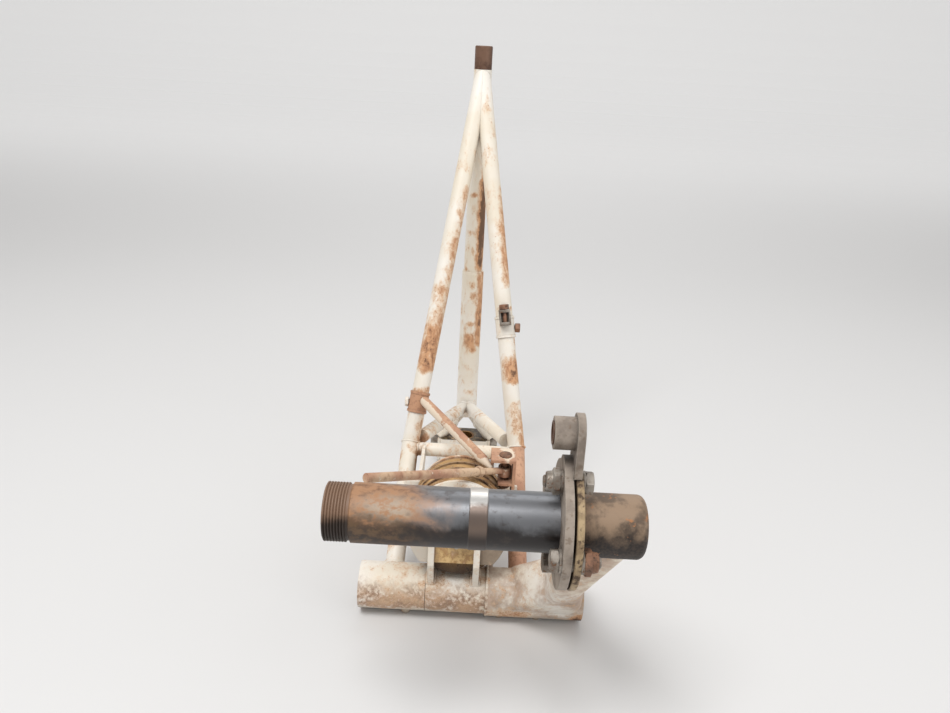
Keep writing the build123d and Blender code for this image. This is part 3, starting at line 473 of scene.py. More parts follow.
journal_steel = rusted_steel(
    "brown_journal_steel", tone(122, 92, 74), tone(84, 58, 44), tone(62, 42, 33)
)
zinc = rusted_steel(
    "dull_zinc", tone(166, 158, 148), tone(118, 107, 96), tone(110, 78, 54),
    amount=0.58, metal=0.5, scale=1.4,
)
rusty_bolt = rusted_steel(
    "rusty_bolt", tone(150, 108, 82), tone(98, 69, 52), tone(60, 42, 33),
    amount=0.57, metal=0.15, scale=1.4,
)
bronze = rusted_steel(
    "oiled_bronze", tone(168, 126, 74), tone(112, 80, 46), tone(60, 44, 30),
    amount=0.64, metal=0.7,
)
flange_steel = rusted_steel(
    "yellowed_flange_steel", tone(184, 160, 124), tone(136, 114, 86), tone(80, 62, 46),
    amount=0.56, metal=0.2,
)

# %% [markdown]
# ## The axle
# Along its length the axle changes: a thread gone brown, then orange rust
# over a smooth surface, then dark burnished steel with a bright land, where a
# bearing sat. Its lower half is painted nearly black as shade, the land's bright
# top is a painted highlight, and a dark band along the steel's top is a painted
# reflection. The place along X and the height over the axle's own middle, in radii,
# choose the colour. Noise breaks up each border that rust made, and those that a
# lathe made stay sharp.

# %% Zones of the axle
AXLE_Y, AXLE_Z, AXLE_R = -0.371, 0.1726, 0.01905
RUST_END, THREAD_END, LAND_START, LAND_END = -0.016, -0.0644, 0.0081, 0.0193
b = Bench("axle_steel")
cloud = b.noise(46, 6, 0.6, (0.7, 1, 1), 0.4)
fleck = b.noise(240, 5, 0.62, (0.8, 1, 1))
scratch = b.noise(500, 3, 0.6, (3.0, 0.25, 0.25))
drift = b.noise(22, 3)
b.edge(0.0003)
x = b.along("X")
height = (b.along("Z") - AXLE_Z) * (1 / AXLE_R)
# low_side is painted shade: the axle darkens by height below its middle.
low_side = b.ramp(0.64 - height + (cloud - 0.5) * 1.5, 0.0, 0.55)
rust_zone = 1 - b.past(x + (cloud - 0.5) * 0.07 + (drift - 0.5) * 0.05, RUST_END, 0.018)
thread_zone = 1 - b.past(x, THREAD_END, 0.0006)
land_zone = b.past(x, LAND_START, 0.0003) * (1 - b.past(x, LAND_END, 0.0003))
print("land width in mm:", round((LAND_END - LAND_START) * 1000, 1))

# %% Steel and rust of the axle
# A darker band along the very top of the steel is a painted reflection.
burnished_with_reflection = b.mix(b.ramp(height, 0.94, 1.0) * 0.6, tone(128, 129, 132), tone(66, 71, 78))
# The steel is painted nearly black below as shade.
steel = b.mix(low_side, burnished_with_reflection, tone(36, 31, 30))
steel = b.mix(b.ramp(cloud * 0.5 + fleck * 0.5, 0.52, 0.62) * 0.5, steel, tone(66, 56, 50))
rust = b.mix(b.ramp(fleck * 0.6 + cloud * 0.4, 0.42, 0.60), tone(164, 122, 88), tone(120, 85, 59))
rust = b.mix(b.ramp(cloud, 0.50, 0.60) * 0.6, rust, tone(166, 150, 132))
# A grey-tan patch on the top of the rust, which is also a painted highlight.
grey_patch_and_highlight = b.spots(((-40, -386, 186), (26, 14, 13), 0.75)) * b.ramp(fleck, 0.36, 0.56)
rust = b.mix(grey_patch_and_highlight, rust, tone(182, 168, 150))
# The rust is painted dark below as shade, broken up by noise.
under = b.ramp(0.80 - height + (cloud - 0.5) * 2.0 + (fleck - 0.5) * 1.1, 0.0, 0.85)
rust_in_shade = b.mix(b.ramp(fleck * 0.5 + cloud * 0.5, 0.44, 0.60), tone(40, 32, 27), tone(98, 74, 50))
rust = b.mix(under * 0.95, rust, rust_in_shade)

# %% Land and thread of the axle, and its finish
colour = b.mix(rust_zone, steel, rust)
# The land's bright top is a painted highlight; below it is brown, painted darker towards the bottom as
# shade.
below = b.mix(b.ramp(0.30 - height, 0.0, 0.5), tone(118, 101, 90), tone(56, 47, 43))
land = b.mix(b.ramp(0.93 - height + (fleck - 0.5) * 0.2, 0.0, 0.14), tone(222, 219, 214), below)
colour = b.mix(land_zone * 0.85, colour, land)
# The thread is brown on top and painted dark below as shade.
thread = b.mix(low_side, tone(132, 104, 84), tone(50, 39, 32))
colour = b.mix(thread_zone, colour, thread)
rusty = rust_zone.most(thread_zone)
metal = (1 - rusty) * (0.70 - low_side * 0.5) + land_zone * 0.10
rough = 0.30 + rusty * 0.22 + fleck * 0.10
axle_finish = b.finish(colour, rough, metal, scratch * 0.4 + fleck * 0.4 * rusty, 0.18)

# %% [markdown]
# The stub behind the flange is the same steel: tan on top with a few orange
# blisters, and painted nearly black below as shade.

# %% Stub finish
b = Bench("stub_steel_painted_shade")
cloud = b.noise(60, 6, 0.62)
fleck = b.noise(190, 5, 0.6)
fine = b.noise(620, 4)
edge = b.edge(0.0006)
height = (b.along("Z") - AXLE_Z) * (1 / AXLE_R)
# The stub's lower side is painted nearly black as shade.
low_side = b.ramp(0.78 - height + (cloud - 0.5) * 1.5, 0.0, 0.75)
colour = b.mix(b.ramp(cloud, 0.42, 0.60), tone(150, 126, 103), tone(104, 86, 70))
shade_below = b.mix(b.ramp(fine, 0.40, 0.62), tone(58, 46, 38), tone(34, 28, 25))
colour = b.mix(low_side, colour, shade_below)
blister = b.ramp(fleck * 0.75 + cloud * 0.25, 0.59, 0.65)
colour = b.mix(blister * 0.8, colour, tone(176, 120, 76))
colour = b.mix(edge * 0.5, colour, tone(190, 140, 100))
stub_finish = b.finish(colour, 0.52 + fine * 0.1, 0.12, fine * 0.5 + blister * 0.5, 0.35)

# %% [markdown]
# The brake's torque plate is a casting, beige-grey with a skin of dust, darker
# in the corners with dust and painted shade, and a little bright on the edges where hands and tools rub it.

# %% Casting
b = Bench("dusty_casting")
cloud = b.noise(50, 5, 0.6)
fleck = b.noise(260, 5, 0.6)
grain = b.noise(1300, 3)
edge = b.edge(0.0012)
nook = b.nook(0.02)
colour = b.mix(b.ramp(cloud, 0.38, 0.62), tone(165, 152, 139), tone(127, 115, 104))
colour = b.mix(b.ramp(fleck, 0.56, 0.66) * 0.5, colour, tone(112, 92, 74))
colour = b.mix(edge * 0.55, colour, tone(196, 188, 174))
# Corners are darkened with dust and painted shade.
colour = b.mix(nook * 0.85, colour, tone(48, 40, 34))
casting = b.finish(colour, 0.55 + fleck * 0.15, 0.25, grain * 0.35 + fleck * 0.5, 0.3)

# %% [markdown]
# ## Old rubber and its plates
# The rubber discs have aged to a golden tan with dust and dark flecks, and their
# foot is painted nearly black as shade. Rubber is dull, so there is no metal and little gloss.

# %% Rubber
b = Bench("aged_tan_rubber")
cloud = b.noise(60, 5, 0.6)
fleck = b.noise(260, 5, 0.65)
fine = b.noise(900, 3)
nook = b.nook(0.01)
colour = b.mix(b.ramp(cloud, 0.38, 0.62), tone(192, 152, 100), tone(146, 106, 68))
colour = b.mix(b.ramp(fine * 0.5 + fleck * 0.5, 0.50, 0.60) * 0.5, colour, tone(206, 182, 146))
colour = b.mix(b.ramp(fleck, 0.60, 0.66), colour, tone(74, 52, 36))
# Corners of the discs are darkened with dust and painted shade.
colour = b.mix(nook * 0.65, colour, tone(62, 44, 32))
# The foot of the stack is painted nearly black as shade.
painted_shade_foot = 1 - b.ramp(b.along("Z"), 0.050, 0.068)
colour = b.mix(painted_shade_foot * 0.9, colour, tone(50, 38, 30))
rubber = b.finish(colour, 0.82, 0.0, fleck * 0.7 + fine * 0.3, 0.35)
plate_finish = rusted_steel(
    "stack_plate_steel", tone(182, 148, 108), tone(132, 96, 64), tone(82, 54, 36),
    amount=0.55, metal=0.05,
)

# %% [markdown]
# ## The link's paint
# The link tube and the arm are nearer the wheel and have had more stones and
# oil. The tube is white and flaked on top and brown along its front, and its
# underside is painted pale grey as shade. The arm is a mauve-tan with streaks of
# white, painted pale grey below as shade. The pad has golden dust between its webs,
# and the bearing block has old grease on top, with painted shade. Each is the same
# worn paint with its own veil, of dirt and on some also painted shade, a function
# that gets the paint's colour and its noises and gives the colour back with the veil on it.


# %% Veils of the link tube and the arm
def grime_band_and_shade(b, colour, cloud, fleck):
    """Brown along the front of the tube, and pale grey under it as painted shade."""
    z = b.along("Z") + (cloud - 0.5) * 0.026
    front = b.ramp(z, 0.010, 0.015) * (1 - b.ramp(z, 0.026, 0.041))
    brown = b.mix(b.ramp(fleck, 0.42, 0.60), tone(184, 136, 96), tone(138, 100, 72))
    colour = b.mix(front * b.ramp(fleck * 0.6 + cloud * 0.4, 0.36, 0.54) * 0.92, colour, brown)
    # The underside is painted pale grey as shade.
    return b.mix(1 - b.ramp(z, 0.009, 0.014), colour, tone(198, 188, 172))


def arm_mottle_and_shade(b, colour, cloud, fleck):
    """Mauve-tan scuffs between streaks of white, and pale grey under it as painted shade."""
    broad = b.noise(24, 5, 0.6, warp=0.25)
    scuffed = b.ramp(broad * 0.75 + fleck * 0.25, 0.40, 0.60)
    mauve = b.mix(b.ramp(cloud, 0.38, 0.62), tone(190, 162, 140), tone(146, 117, 98))
    colour = b.mix(scuffed * 0.92, colour, mauve)
    z = b.along("Z") + (cloud - 0.5) * 0.02
    # The underside is painted pale grey as shade.
    return b.mix((1 - b.ramp(z, 0.006, 0.016)) * 0.9, colour, tone(186, 178, 164))


link_paint = worn_paint(
    "flaked_white_paint",
    0.035,
    patches=(((-27, -270, 39), (7, 8, 7), 0.5), ((-14, -266, 36), (22, 12, 10), 0.12)),
    veil=grime_band_and_shade,
)
arm_paint = worn_paint(
    "mottled_arm_paint",
    0.03,
    patches=(
        ((102, -268, 11), (8, 16, 10), 0.55),
        ((46, -270, 15), (32, 20, 8), 0.24),
        ((84, -262, 40), (16, 24, 10), 0.12),
    ),
    veil=arm_mottle_and_shade,
)

# %% [markdown]
# The two webs divide the pad's face into three, and dust lies differently in
# each. So the veil changes at the webs, and thins out towards the pad's top.


# %% Veils of the pad and the bearing block
PAD_LEFT, PAD_RIGHT = -0.020, 0.0155


def pad_dust(b, colour, cloud, fleck):
    """Golden dust between the webs, pale to the left, grey to the right, and white at the top."""
    x = b.along("X") + (cloud - 0.5) * 0.01
    z = b.along("Z") + (cloud - 0.5) * 0.02
    dust = b.mix(b.ramp(fleck, 0.40, 0.60), tone(222, 188, 132), tone(176, 134, 84))
    dust = b.mix(b.past(x, PAD_RIGHT, 0.001), dust, b.mix(fleck, tone(166, 148, 128), tone(110, 94, 78)))
    dust = b.mix(1 - b.past(x, PAD_LEFT, 0.001), dust, tone(204, 194, 180))
    return b.mix(1 - b.ramp(z, 0.088, 0.112), colour, dust)


def grease_and_shade_top(b, colour, cloud, fleck):
    """Old grease and painted shade on the top of the bearing block, with a sharp border at the top's rim."""
    # The dark top is old grease and painted shade.
    grease_and_shade = b.mix(b.ramp(fleck, 0.40, 0.60), tone(58, 46, 34), tone(96, 80, 52))
    return b.mix(b.ramp(b.along("Z"), 0.0338, 0.0343), colour, grease_and_shade)


PAD_RIM_RUST = ((6, -262, 123), (32, 12, 8), 0.26)
pad_paint = worn_paint("dusty_pad_paint", 0.02, (PAD_RIM_RUST,), veil=pad_dust)
block_paint = worn_paint("block_paint_grease_and_shade", -0.04, veil=grease_and_shade_top)

# %% [markdown]
# ## Who wears what
# Each CAD node keeps its mesh and only gets a new material in its slot. The list
# goes by finish, because that is how a painter would go round the leg.

# %% Assign the finishes to the CAD nodes
FINISHES = {
    truss_paint: (
        "apex_socket pivot_tube pivot_sleeve sleeve_plug left_drag_tube right_drag_tube left_leg cross_tube "
        "bearing_cheeks left_outer_strut right_outer_strut left_inner_strut right_inner_strut "
        "right_hinge_boss shock_head shock_head_gussets right_clamp"
    ),
    link_paint: (
        "left_hinge_boss link_tube left_pad_web right_pad_web boss_grease_fitting link_grease_fittings"
    ),
    arm_paint: "trailing_arm",
    block_paint: "bearing_block",
    pad_paint: "shock_pad",
    salmon: "right_leg",
    clamp_rust: "left_clamp",
    bracket_finish: "door_rod_bracket",
    brace_finish: "door_brace",
    rod_finish: "door_rod rod_eye rod_jam_nut",
    journal_steel: "aft_journal anchor_bushes hinge_pin",
    axle_finish: "axle",
    stub_finish: "axle_stub",
    flange_steel: "axle_flange",
    casting: "brake_torque_plate",
    zinc: "right_clamp_block hinge_pin_nut flange_washers",
    bronze: "forward_bush truss_hinge_bushes link_bushes",
    plate_finish: "shock_plate_1 shock_plate_2 shock_plate_3",
}


def wear_finish(piece, material):
    """Puts one material on a whole piece."""
    if not piece.material_slots:
        piece.data.materials.append(material)
    for slot in piece.material_slots:
        slot.material = material


for material, names in FINISHES.items():
    for name in names.split():
        wear_finish(nodes[name], material)
print("finishes in use on CAD nodes:", len(FINISHES))

# %% [markdown]
# ## Modelling helpers
# Most small parts of a leg are turned or hexagonal. A turned piece is a profile
# spun round an axis, as on a lathe. Spinning leaves doubled points on the axis
# and at the seam, so they are merged before the faces are turned outwards.
# Operators act on what is selected, so a piece is always picked alone first.


# %% Pick, settle and turn
def pick(piece):
    """Selects one piece alone and makes it the active one."""
    bpy.ops.object.select_all(action="DESELECT")
    piece.select_set(True)
    bpy.context.view_layer.objects.active = piece


def side_of(axis):
    """Any direction across an axis."""
    return axis.orthogonal().normalized()


def settle(piece, smooth=35.0):
    """Applies the piece's place and smooths it, leaving corners sharper than an angle sharp."""
    pick(piece)
    bpy.ops.object.transform_apply(location=True, rotation=True, scale=True)
    bpy.ops.object.shade_smooth_by_angle(angle=math.radians(smooth))
    piece.select_set(False)


def turned(name, start, axis, profile, steps):
    """A turned solid. Profile is (distance along the axis, radius) from end to end, in millimetres."""
    start, axis = Vector(start) / 1000, Vector(axis).normalized()
    across = side_of(axis)
    points = [start + axis * (a / 1000) + across * (r / 1000) for a, r in profile]
    mesh = bpy.data.meshes.new(name)
    mesh.from_pydata(points, [(i, i + 1) for i in range(len(points) - 1)], [])
    piece = placed(name, mesh)
    pick(piece)
    bpy.ops.object.mode_set(mode="EDIT")
    bpy.ops.mesh.select_all(action="SELECT")
    bpy.ops.mesh.spin(steps=steps, angle=2 * math.pi, center=start, axis=axis)
    bpy.ops.mesh.select_all(action="SELECT")
    bpy.ops.mesh.remove_doubles(threshold=0.00002)
    bpy.ops.mesh.normals_make_consistent(inside=False)
    bpy.ops.object.mode_set(mode="OBJECT")
    settle(piece)
    return piece


# %% [markdown]
# A nut or bolt head is a hexagon whose corners were cut by a lathe, which
# leaves the curved lines on its flats. Modelling it the same way gives the same
# lines: a six-sided prism, kept only where it is inside a turned, chamfered disc.


# %% Hexagons
def hexagon(name, seat, axis, flats, height, turn):
    """A hexagon with turned chamfers, standing on its seat, in millimetres."""
    axis = Vector(axis).normalized()
    corner = flats / math.sqrt(3)
    cut = corner - flats / 2
    washer_face = 0.35
    profile = [(0, 0), (0, flats / 2), (washer_face + cut * 0.35, corner + 0.02)]
    profile += [(height - cut * 0.55, corner + 0.02), (height, flats / 2 - 0.2), (height, 0)]
    keep = turned(name + "_keep", seat, axis, profile, 36)
    middle = (Vector(seat) + axis * (height / 2)) / 1000
    facing = axis.to_track_quat("Z", "Y") @ Quaternion((0, 0, 1), turn)
    bpy.ops.mesh.primitive_cylinder_add(
        vertices=6,
        radius=corner / 1000,
        depth=height / 1000 + 0.0002,
        location=middle,
        rotation=facing.to_euler(),
    )
    piece = bpy.context.active_object
    piece.name = name
    bpy.ops.object.modifier_add(type="BOOLEAN")
    piece.modifiers[-1].operation = "INTERSECT"
    piece.modifiers[-1].object = keep
    bpy.ops.object.modifier_apply(modifier=piece.modifiers[-1].name)
    bpy.data.objects.remove(keep)
    settle(piece, 22.0)
    return piece


# %% [markdown]
# Small pieces that belong together are joined into one, so that the part keeps a
# short list of pieces. The joined piece rides on its body, and where the CAD
# model has a plainer version of it, it replaces that one.


# %% Join pieces and let them ride
def joined(name, pieces, body, material, slot, *stands_for):
    """Joins pieces into one, gives it its finish and lets it ride on its body."""
    for piece in pieces:
        wear_finish(piece, material)
    pick(pieces[0])
    if len(pieces) > 1:
        for piece in pieces:
            piece.select_set(True)
        bpy.ops.object.join()
    whole = bpy.context.view_layer.objects.active
    whole.name = name
    whole.select_set(False)
    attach(whole, body)
    if stands_for:
        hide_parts(*stands_for)
    print("piece:", name, "faces:", len(whole.data.polygons))


# %% [markdown]
# ## Bolts of the axle flange
# Four bolts hold the flange and the torque plate together. The upper one has its
# self-locking nut outboard, and the others have their heads there. Each bolt
# shows a head with a dimple, a nut with a collar, and a thread's chamfered end.
# The pieces sink into each other by a hair, so that no gap shows between them.


# %% Sizes of the flange bolts
PLATE_X0, FLANGE_X1, WASHER_H = 63.0, 74.4, 1.7
CIRCLE_R, BOLT_ANGLES = 32.6, (98.0, 8.0, -82.0, -172.0)
HEAD_AF, HEAD_H, SHANK_R, SHANK_H = 12.7, 5.0, 3.97, FLANGE_X1 - PLATE_X0 + 2 * WASHER_H
NUT_AF, NUT_H, COLLAR_H = 14.3, 8.6, 4.0
END_R, END_H, END_DEPTH = 3.9, 3.2, 2.2
THREAD_PITCH, THREAD_DEPTH, SINK = 1.1, 0.45, 0.1
DIMPLE = [(0, 4.9), (0.4, 4.6), (0.4, 0)]
SHANK = [(0, SHANK_R), (SHANK_H, SHANK_R), (SHANK_H, 0)]
COLLAR = [(0, 0), (0, 6.4), (3.4, 5.9), (COLLAR_H, 5.3), (COLLAR_H, 4.2), (3.2, 4.1), (3.2, 0)]


def thread_end(name, start, axis, radius, length):
    """A short length of thread with a chamfered end."""
    profile = [(0, 0), (0, radius - 0.3)]
    for turn in range(int(length / THREAD_PITCH)):
        crest, root = (turn + 0.3) * THREAD_PITCH, (turn + 0.85) * THREAD_PITCH
        profile += [(crest, radius), (root, radius - THREAD_DEPTH)]
    profile += [(length - 0.2, radius - 0.3), (length + 0.6, radius - 1.1), (length + 0.6, 0)]
    return turned(name, start, axis, profile, 32)


print("length clamped by each bolt in mm:", round(SHANK_H, 2))

# %% Flange bolts and nuts
heads, outer_nut, inner_nuts = [], [], []
for number, angle in enumerate(BOLT_ANGLES):
    y = AXLE_Y * 1000 + CIRCLE_R * math.cos(math.radians(angle))
    z = AXLE_Z * 1000 + CIRCLE_R * math.sin(math.radians(angle))
    outboard = Vector((PLATE_X0 - WASHER_H, y, z)), Vector((-1, 0, 0))
    inboard = Vector((FLANGE_X1 + WASHER_H, y, z)), Vector((1, 0, 0))
    head_end, nut_end = (outboard, inboard) if number else (inboard, outboard)
    (head_at, head_way), (nut_at, nut_way) = head_end, nut_end
    turn = math.radians(8 + 17 * number)
    head = hexagon(f"head_{number}", head_at, head_way, HEAD_AF, HEAD_H, turn)
    dimple_at = head_at + head_way * (HEAD_H - SINK)
    dimple = turned(f"dimple_{number}", dimple_at, head_way, DIMPLE, 32)
    shank = turned(f"shank_{number}", head_at + head_way * SINK, -head_way, SHANK, 32)
    nut = hexagon(f"nut_{number}", nut_at, nut_way, NUT_AF, NUT_H - COLLAR_H, turn + 0.3)
    collar_at = nut_at + nut_way * (NUT_H - COLLAR_H - SINK)
    collar = turned(f"collar_{number}", collar_at, nut_way, COLLAR, 36)
    end_at = nut_at + nut_way * (NUT_H - END_DEPTH)
    end = thread_end(f"end_{number}", end_at, nut_way, END_R, END_H)
    heads += [head, dimple, shank, end]
    (inner_nuts if number else outer_nut).extend([nut, collar])
joined("flange_bolt_set", heads, "link", zinc, "zinc_steel", "flange_bolts")
joined("flange_nut_outboard", outer_nut, "link", zinc, "zinc_steel")
joined("flange_nut_set", inner_nuts, "link", rusty_bolt, "zinc_steel", "flange_nuts")

# %% [markdown]
# ## Weld beads
# A tube is cut to the shape of the tube that it meets and welded all round. The
# bead follows the line where the two surfaces cross. That line is worked out
# point by point: from each point of the tube's rim, go along the tube until the
# other surface is reached. A curve with a round bevel along it is the bead, and
# a radius that rises and falls a little makes the ripples of hand welding.


# %% Lines where tubes meet
SADDLE_STEPS, RIPPLES = 44, (1.0, 0.86, 0.94, 0.82)


def rim(start, run, radius, steps):
    """Points round a tube's rim."""
    across = side_of(run)
    beside = run.cross(across)
    for step in range(steps):
        turn = 2 * math.pi * step / steps
        yield start + (across * math.cos(turn) + beside * math.sin(turn)) * radius


def meets_plane(start, run, radius, point, normal):
    """Where a tube's surface crosses a plane."""
    for p in rim(start, run, radius, SADDLE_STEPS):
        yield p + run * ((point - p).dot(normal) / run.dot(normal))


def meets_tube(start, run, radius, point, along, other):
    """Where a tube's surface first crosses another tube's surface."""
    for p in rim(start, run, radius, SADDLE_STEPS):
        away = p - point
        a, c = run - along * run.dot(along), away - along * away.dot(along)
        qa, qb, qc = a.dot(a), 2 * a.dot(c), c.dot(c) - other * other
        root = max(qb * qb - 4 * qa * qc, 0.0)
        yield p + run * ((-qb - math.sqrt(root)) / (2 * qa))


# %% Beads
def bead(name, points, body, material, width):
    """A closed, rippled weld bead along points in millimetres, which rides on its body."""
    points = [Vector(p) / 1000 for p in points]
    curve = bpy.data.curves.new(name, "CURVE")
    curve.dimensions = "3D"
    curve.bevel_depth = width / 1000
    curve.bevel_resolution = 2
    spline = curve.splines.new("POLY")
    spline.points.add(len(points) - 1)
    for number, (knot, p) in enumerate(zip(spline.points, points)):
        knot.co = (*p, 1.0)
        knot.radius = RIPPLES[number % len(RIPPLES)]
    spline.use_cyclic_u = True
    pick(placed(name, curve))
    bpy.ops.object.convert(target="MESH")
    piece = bpy.context.view_layer.objects.active
    settle(piece, 60.0)
    wear_finish(piece, material)
    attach(piece, body)
    print("bead:", name, "faces:", len(piece.data.polygons))


# %% [markdown]
# The truss's own sizes, in millimetres: the apex, the leg joints, the hinge at the
# legs' feet, the cross tube, and the node at the foot of the sleeve. The beads at
# the node start from far out on each strut, and run in until they meet the sleeve.

# %% Sizes of the truss
UP, ACROSS = Vector((0, 0, 1)), Vector((1, 0, 0))
APEX, NODE = Vector((0, -3.4, 415.7)), Vector((0, 0, 72.0))
JOINT_X, JOINT_Y, JOINT_Z = 50.0, -133.0, 94.0
FOOT_X, HINGE_Y, HINGE_Z = 52.6, -252.0, 23.0
CROSS_MIDDLE = Vector((0, -136.0, 89.0))
STRUT_ENDS = {"outer": (39.5, -125.5, 97.0), "inner": (28.0, -2.0, 34.0)}
STRUT_START, SLEEVE_TOP, SLEEVE_BEAD_R = 60, 227.2, 9.9
TUBE_R, CROSS_R, SLEEVE_R, LEFT_BOSS_R, RIGHT_BOSS_R = 7.94, 6.35, 11.1, 19.05, 17.0
print("height of the apex in mm:", round(APEX.z, 1))

# %% Beads of the truss
for side, name in ((-1, "left"), (1, "right")):
    joint = Vector((JOINT_X * side, JOINT_Y, JOINT_Z))
    foot = Vector((FOOT_X * side, HINGE_Y, HINGE_Z))
    drag, leg = (joint - APEX).normalized(), (foot - joint).normalized()
    mitre = meets_plane(joint - drag * 40, drag, TUBE_R, joint, (drag + leg).normalized())
    bead(f"{name}_mitre_bead", mitre, "truss", truss_paint, 1.2)
    boss_r, leg_finish = (LEFT_BOSS_R, truss_paint) if side < 0 else (RIGHT_BOSS_R, salmon)
    saddle = meets_tube(joint, leg, TUBE_R, Vector((0, HINGE_Y, HINGE_Z)), ACROSS, boss_r)
    bead(f"{name}_leg_bead", saddle, "truss", leg_finish, 1.6)
    saddle = meets_tube(CROSS_MIDDLE, ACROSS * side, CROSS_R, joint, leg, TUBE_R)
    bead(f"{name}_cross_bead", saddle, "truss", truss_paint, 1.4)
    for part, (x, y, z) in STRUT_ENDS.items():
        run = (Vector((x * side, y, z)) - NODE).normalized()
        saddle = meets_tube(NODE + run * STRUT_START, -run, CROSS_R, NODE, UP, SLEEVE_R)
        bead(f"{name}_{part}_strut_bead", saddle, "truss", truss_paint, 1.4)
sleeve_rim = rim(UP * SLEEVE_TOP, UP, SLEEVE_BEAD_R, 40)
bead("sleeve_bead", sleeve_rim, "truss", truss_paint, 1.0)

# %% [markdown]
# On the link, a bead closes the seam between the tube and the arm's shell,
# another holds the stub to the flange, and two run round the feet of the webs.

# %% Beads of the link
SHELL_X, SHELL_BEAD_R, STUB_X, STUB_BEAD_R = 26.2, 19.6, 75.0, 19.9
WEB_PLACES, WEB_BEAD_R, WEB_SIDE = {"left": -20.0, "right": 16.3}, 19.2, 2.8
seam = rim(Vector((SHELL_X, HINGE_Y, HINGE_Z)), ACROSS, SHELL_BEAD_R, 56)
bead("shell_bead", seam, "link", link_paint, 1.5)
ring = rim(Vector((STUB_X, AXLE_Y * 1000, AXLE_Z * 1000)), ACROSS, STUB_BEAD_R, 56)
bead("stub_bead", ring, "link", flange_steel, 1.3)
turns = [math.radians(4 * step - 2) for step in range(12)]
feet = [(HINGE_Y - WEB_BEAD_R * math.sin(a), HINGE_Z + WEB_BEAD_R * math.cos(a)) for a in turns]
for name, x in WEB_PLACES.items():
    loop = [Vector((x + WEB_SIDE, y, z)) for y, z in feet]
    loop += [Vector((x - WEB_SIDE, y, z)) for y, z in reversed(feet)]
    bead(f"{name}_web_bead", loop, "link", link_paint, 1.7)

# %% [markdown]
# ## Rubber discs
# Four rubber discs are squeezed between steel plates. Under load for years,
# their rims bulge, and a fine line from the mould runs round the middle. Each
# disc is turned, and the two bodies that it lies between are printed with it.
# The front disc lies between the link and a plate that turns three quarters as
# far, but no joint joins those two.

# %% Rubber discs
DECLINE = math.radians(14.0)
STACK = Vector((0, -257.0, 86.0))
STACK_AXIS = Vector((0, math.cos(DECLINE), -math.sin(DECLINE)))
RUBBER, PLATE, GAP, MOUTH_R, HOLE_R, MOUTH = 14.6, 2.8, 0.3, 10.2, 9.9, 3.6
FIRST_REACH = 3.065
HALF_RIM = [(0, 36.5), (0.9, 38.2), (2.6, 39.1), (5.2, 39.6), (6.9, 39.75), (7.1, 40.1)]
OTHER_HALF = [(RUBBER - a, r) for a, r in reversed(HALF_RIM)]
HOLE = [(RUBBER, MOUTH_R), (RUBBER - MOUTH, HOLE_R), (MOUTH, HOLE_R), (0, MOUTH_R)]
BETWEEN = (("link", "truss"), ("plate_1", "plate_2"), ("plate_2", "plate_3"), ("plate_3", "truss"))
for number, (before, after) in enumerate(BETWEEN):
    start = STACK + STACK_AXIS * (number * (RUBBER + PLATE + 2 * GAP) + GAP)
    profile = [(0, MOUTH_R)] + HALF_RIM + OTHER_HALF + HOLE
    disc = turned(f"rubber_{number + 1}", start, STACK_AXIS, profile, 96)
    wear_finish(disc, rubber)
    first = start / 1000
    reach = RUBBER if number else RUBBER * FIRST_REACH
    first + STACK_AXIS * (reach / 1000)
    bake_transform(disc)
    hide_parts(f"rubber_disc_{number + 1}")
    print("disc:", disc.name, "between", before, "and", after)

# %% [markdown]
# ## The rest of the bolts
# The clamps' bolts are small and rusty, and the cheeks of the bearing block have
# a larger one on each side. Each is a hexagon on its seat with a shank behind it.
# The clamps sit on the drag tubes, so their places are worked out along the tube.


# %% Small bolts
def small_bolt(name, seat, way, flats, height, shank_r, shank):
    """A hexagon with a shank behind it."""
    way = Vector(way).normalized()
    head = hexagon(name + "_head", seat, way, flats, height, 0.35)
    profile = [(0, shank_r), (shank, shank_r), (shank, 0)]
    stem = turned(name + "_stem", Vector(seat) + way * SINK, -way, profile, 24)
    return [head, stem]


def on_drag(side, height):
    """The point of a drag tube's middle at a height, in millimetres."""
    share = (APEX.z - height) / (APEX.z - JOINT_Z)
    return Vector((JOINT_X * side * share, APEX.y + (JOINT_Y - APEX.y) * share, height))


# %% Bolts of the clamps
LEFT_CLAMP_Z, RIGHT_CLAMP_Z, CLAMP_SEAT = 129.5, 199.0, 9.19
CLAMP_AF, CLAMP_BOLT_R, CLAMP_SHANK, LEFT_HEAD_H, RIGHT_HEAD_H = 8.0, 2.4, 0.7, 3.4, 4.8
BLOCK_UP, BLOCK_OUT, BLOCK_LENGTH = 8.5, 13.09, 14.6
right_run = (Vector((JOINT_X, JOINT_Y, JOINT_Z)) - APEX).normalized()
outwards = ACROSS.cross(right_run).normalized()
outwards = outwards if outwards.y < 0 else -outwards
left_at, right_at = on_drag(-1, LEFT_CLAMP_Z), on_drag(1, RIGHT_CLAMP_Z)
left_seat, right_seat = left_at - ACROSS * CLAMP_SEAT, right_at + ACROSS * CLAMP_SEAT
block_top = right_at - right_run * (BLOCK_UP + BLOCK_LENGTH / 2) + outwards * BLOCK_OUT
left_bolt = small_bolt(
    "left_clamp_bolt", left_seat, -ACROSS, CLAMP_AF, LEFT_HEAD_H, CLAMP_BOLT_R, CLAMP_SHANK
)
joined("left_clamp_bolt_set", left_bolt, "truss", truss_paint, "zinc_steel")
right_bolts = []
for name, seat, way, shank in (
    ("block_bolt", block_top, -right_run, BLOCK_LENGTH),
    ("side_clamp_bolt", right_seat, ACROSS, CLAMP_SHANK),
):
    right_bolts += small_bolt(name, seat, way, CLAMP_AF, RIGHT_HEAD_H, CLAMP_BOLT_R, shank)
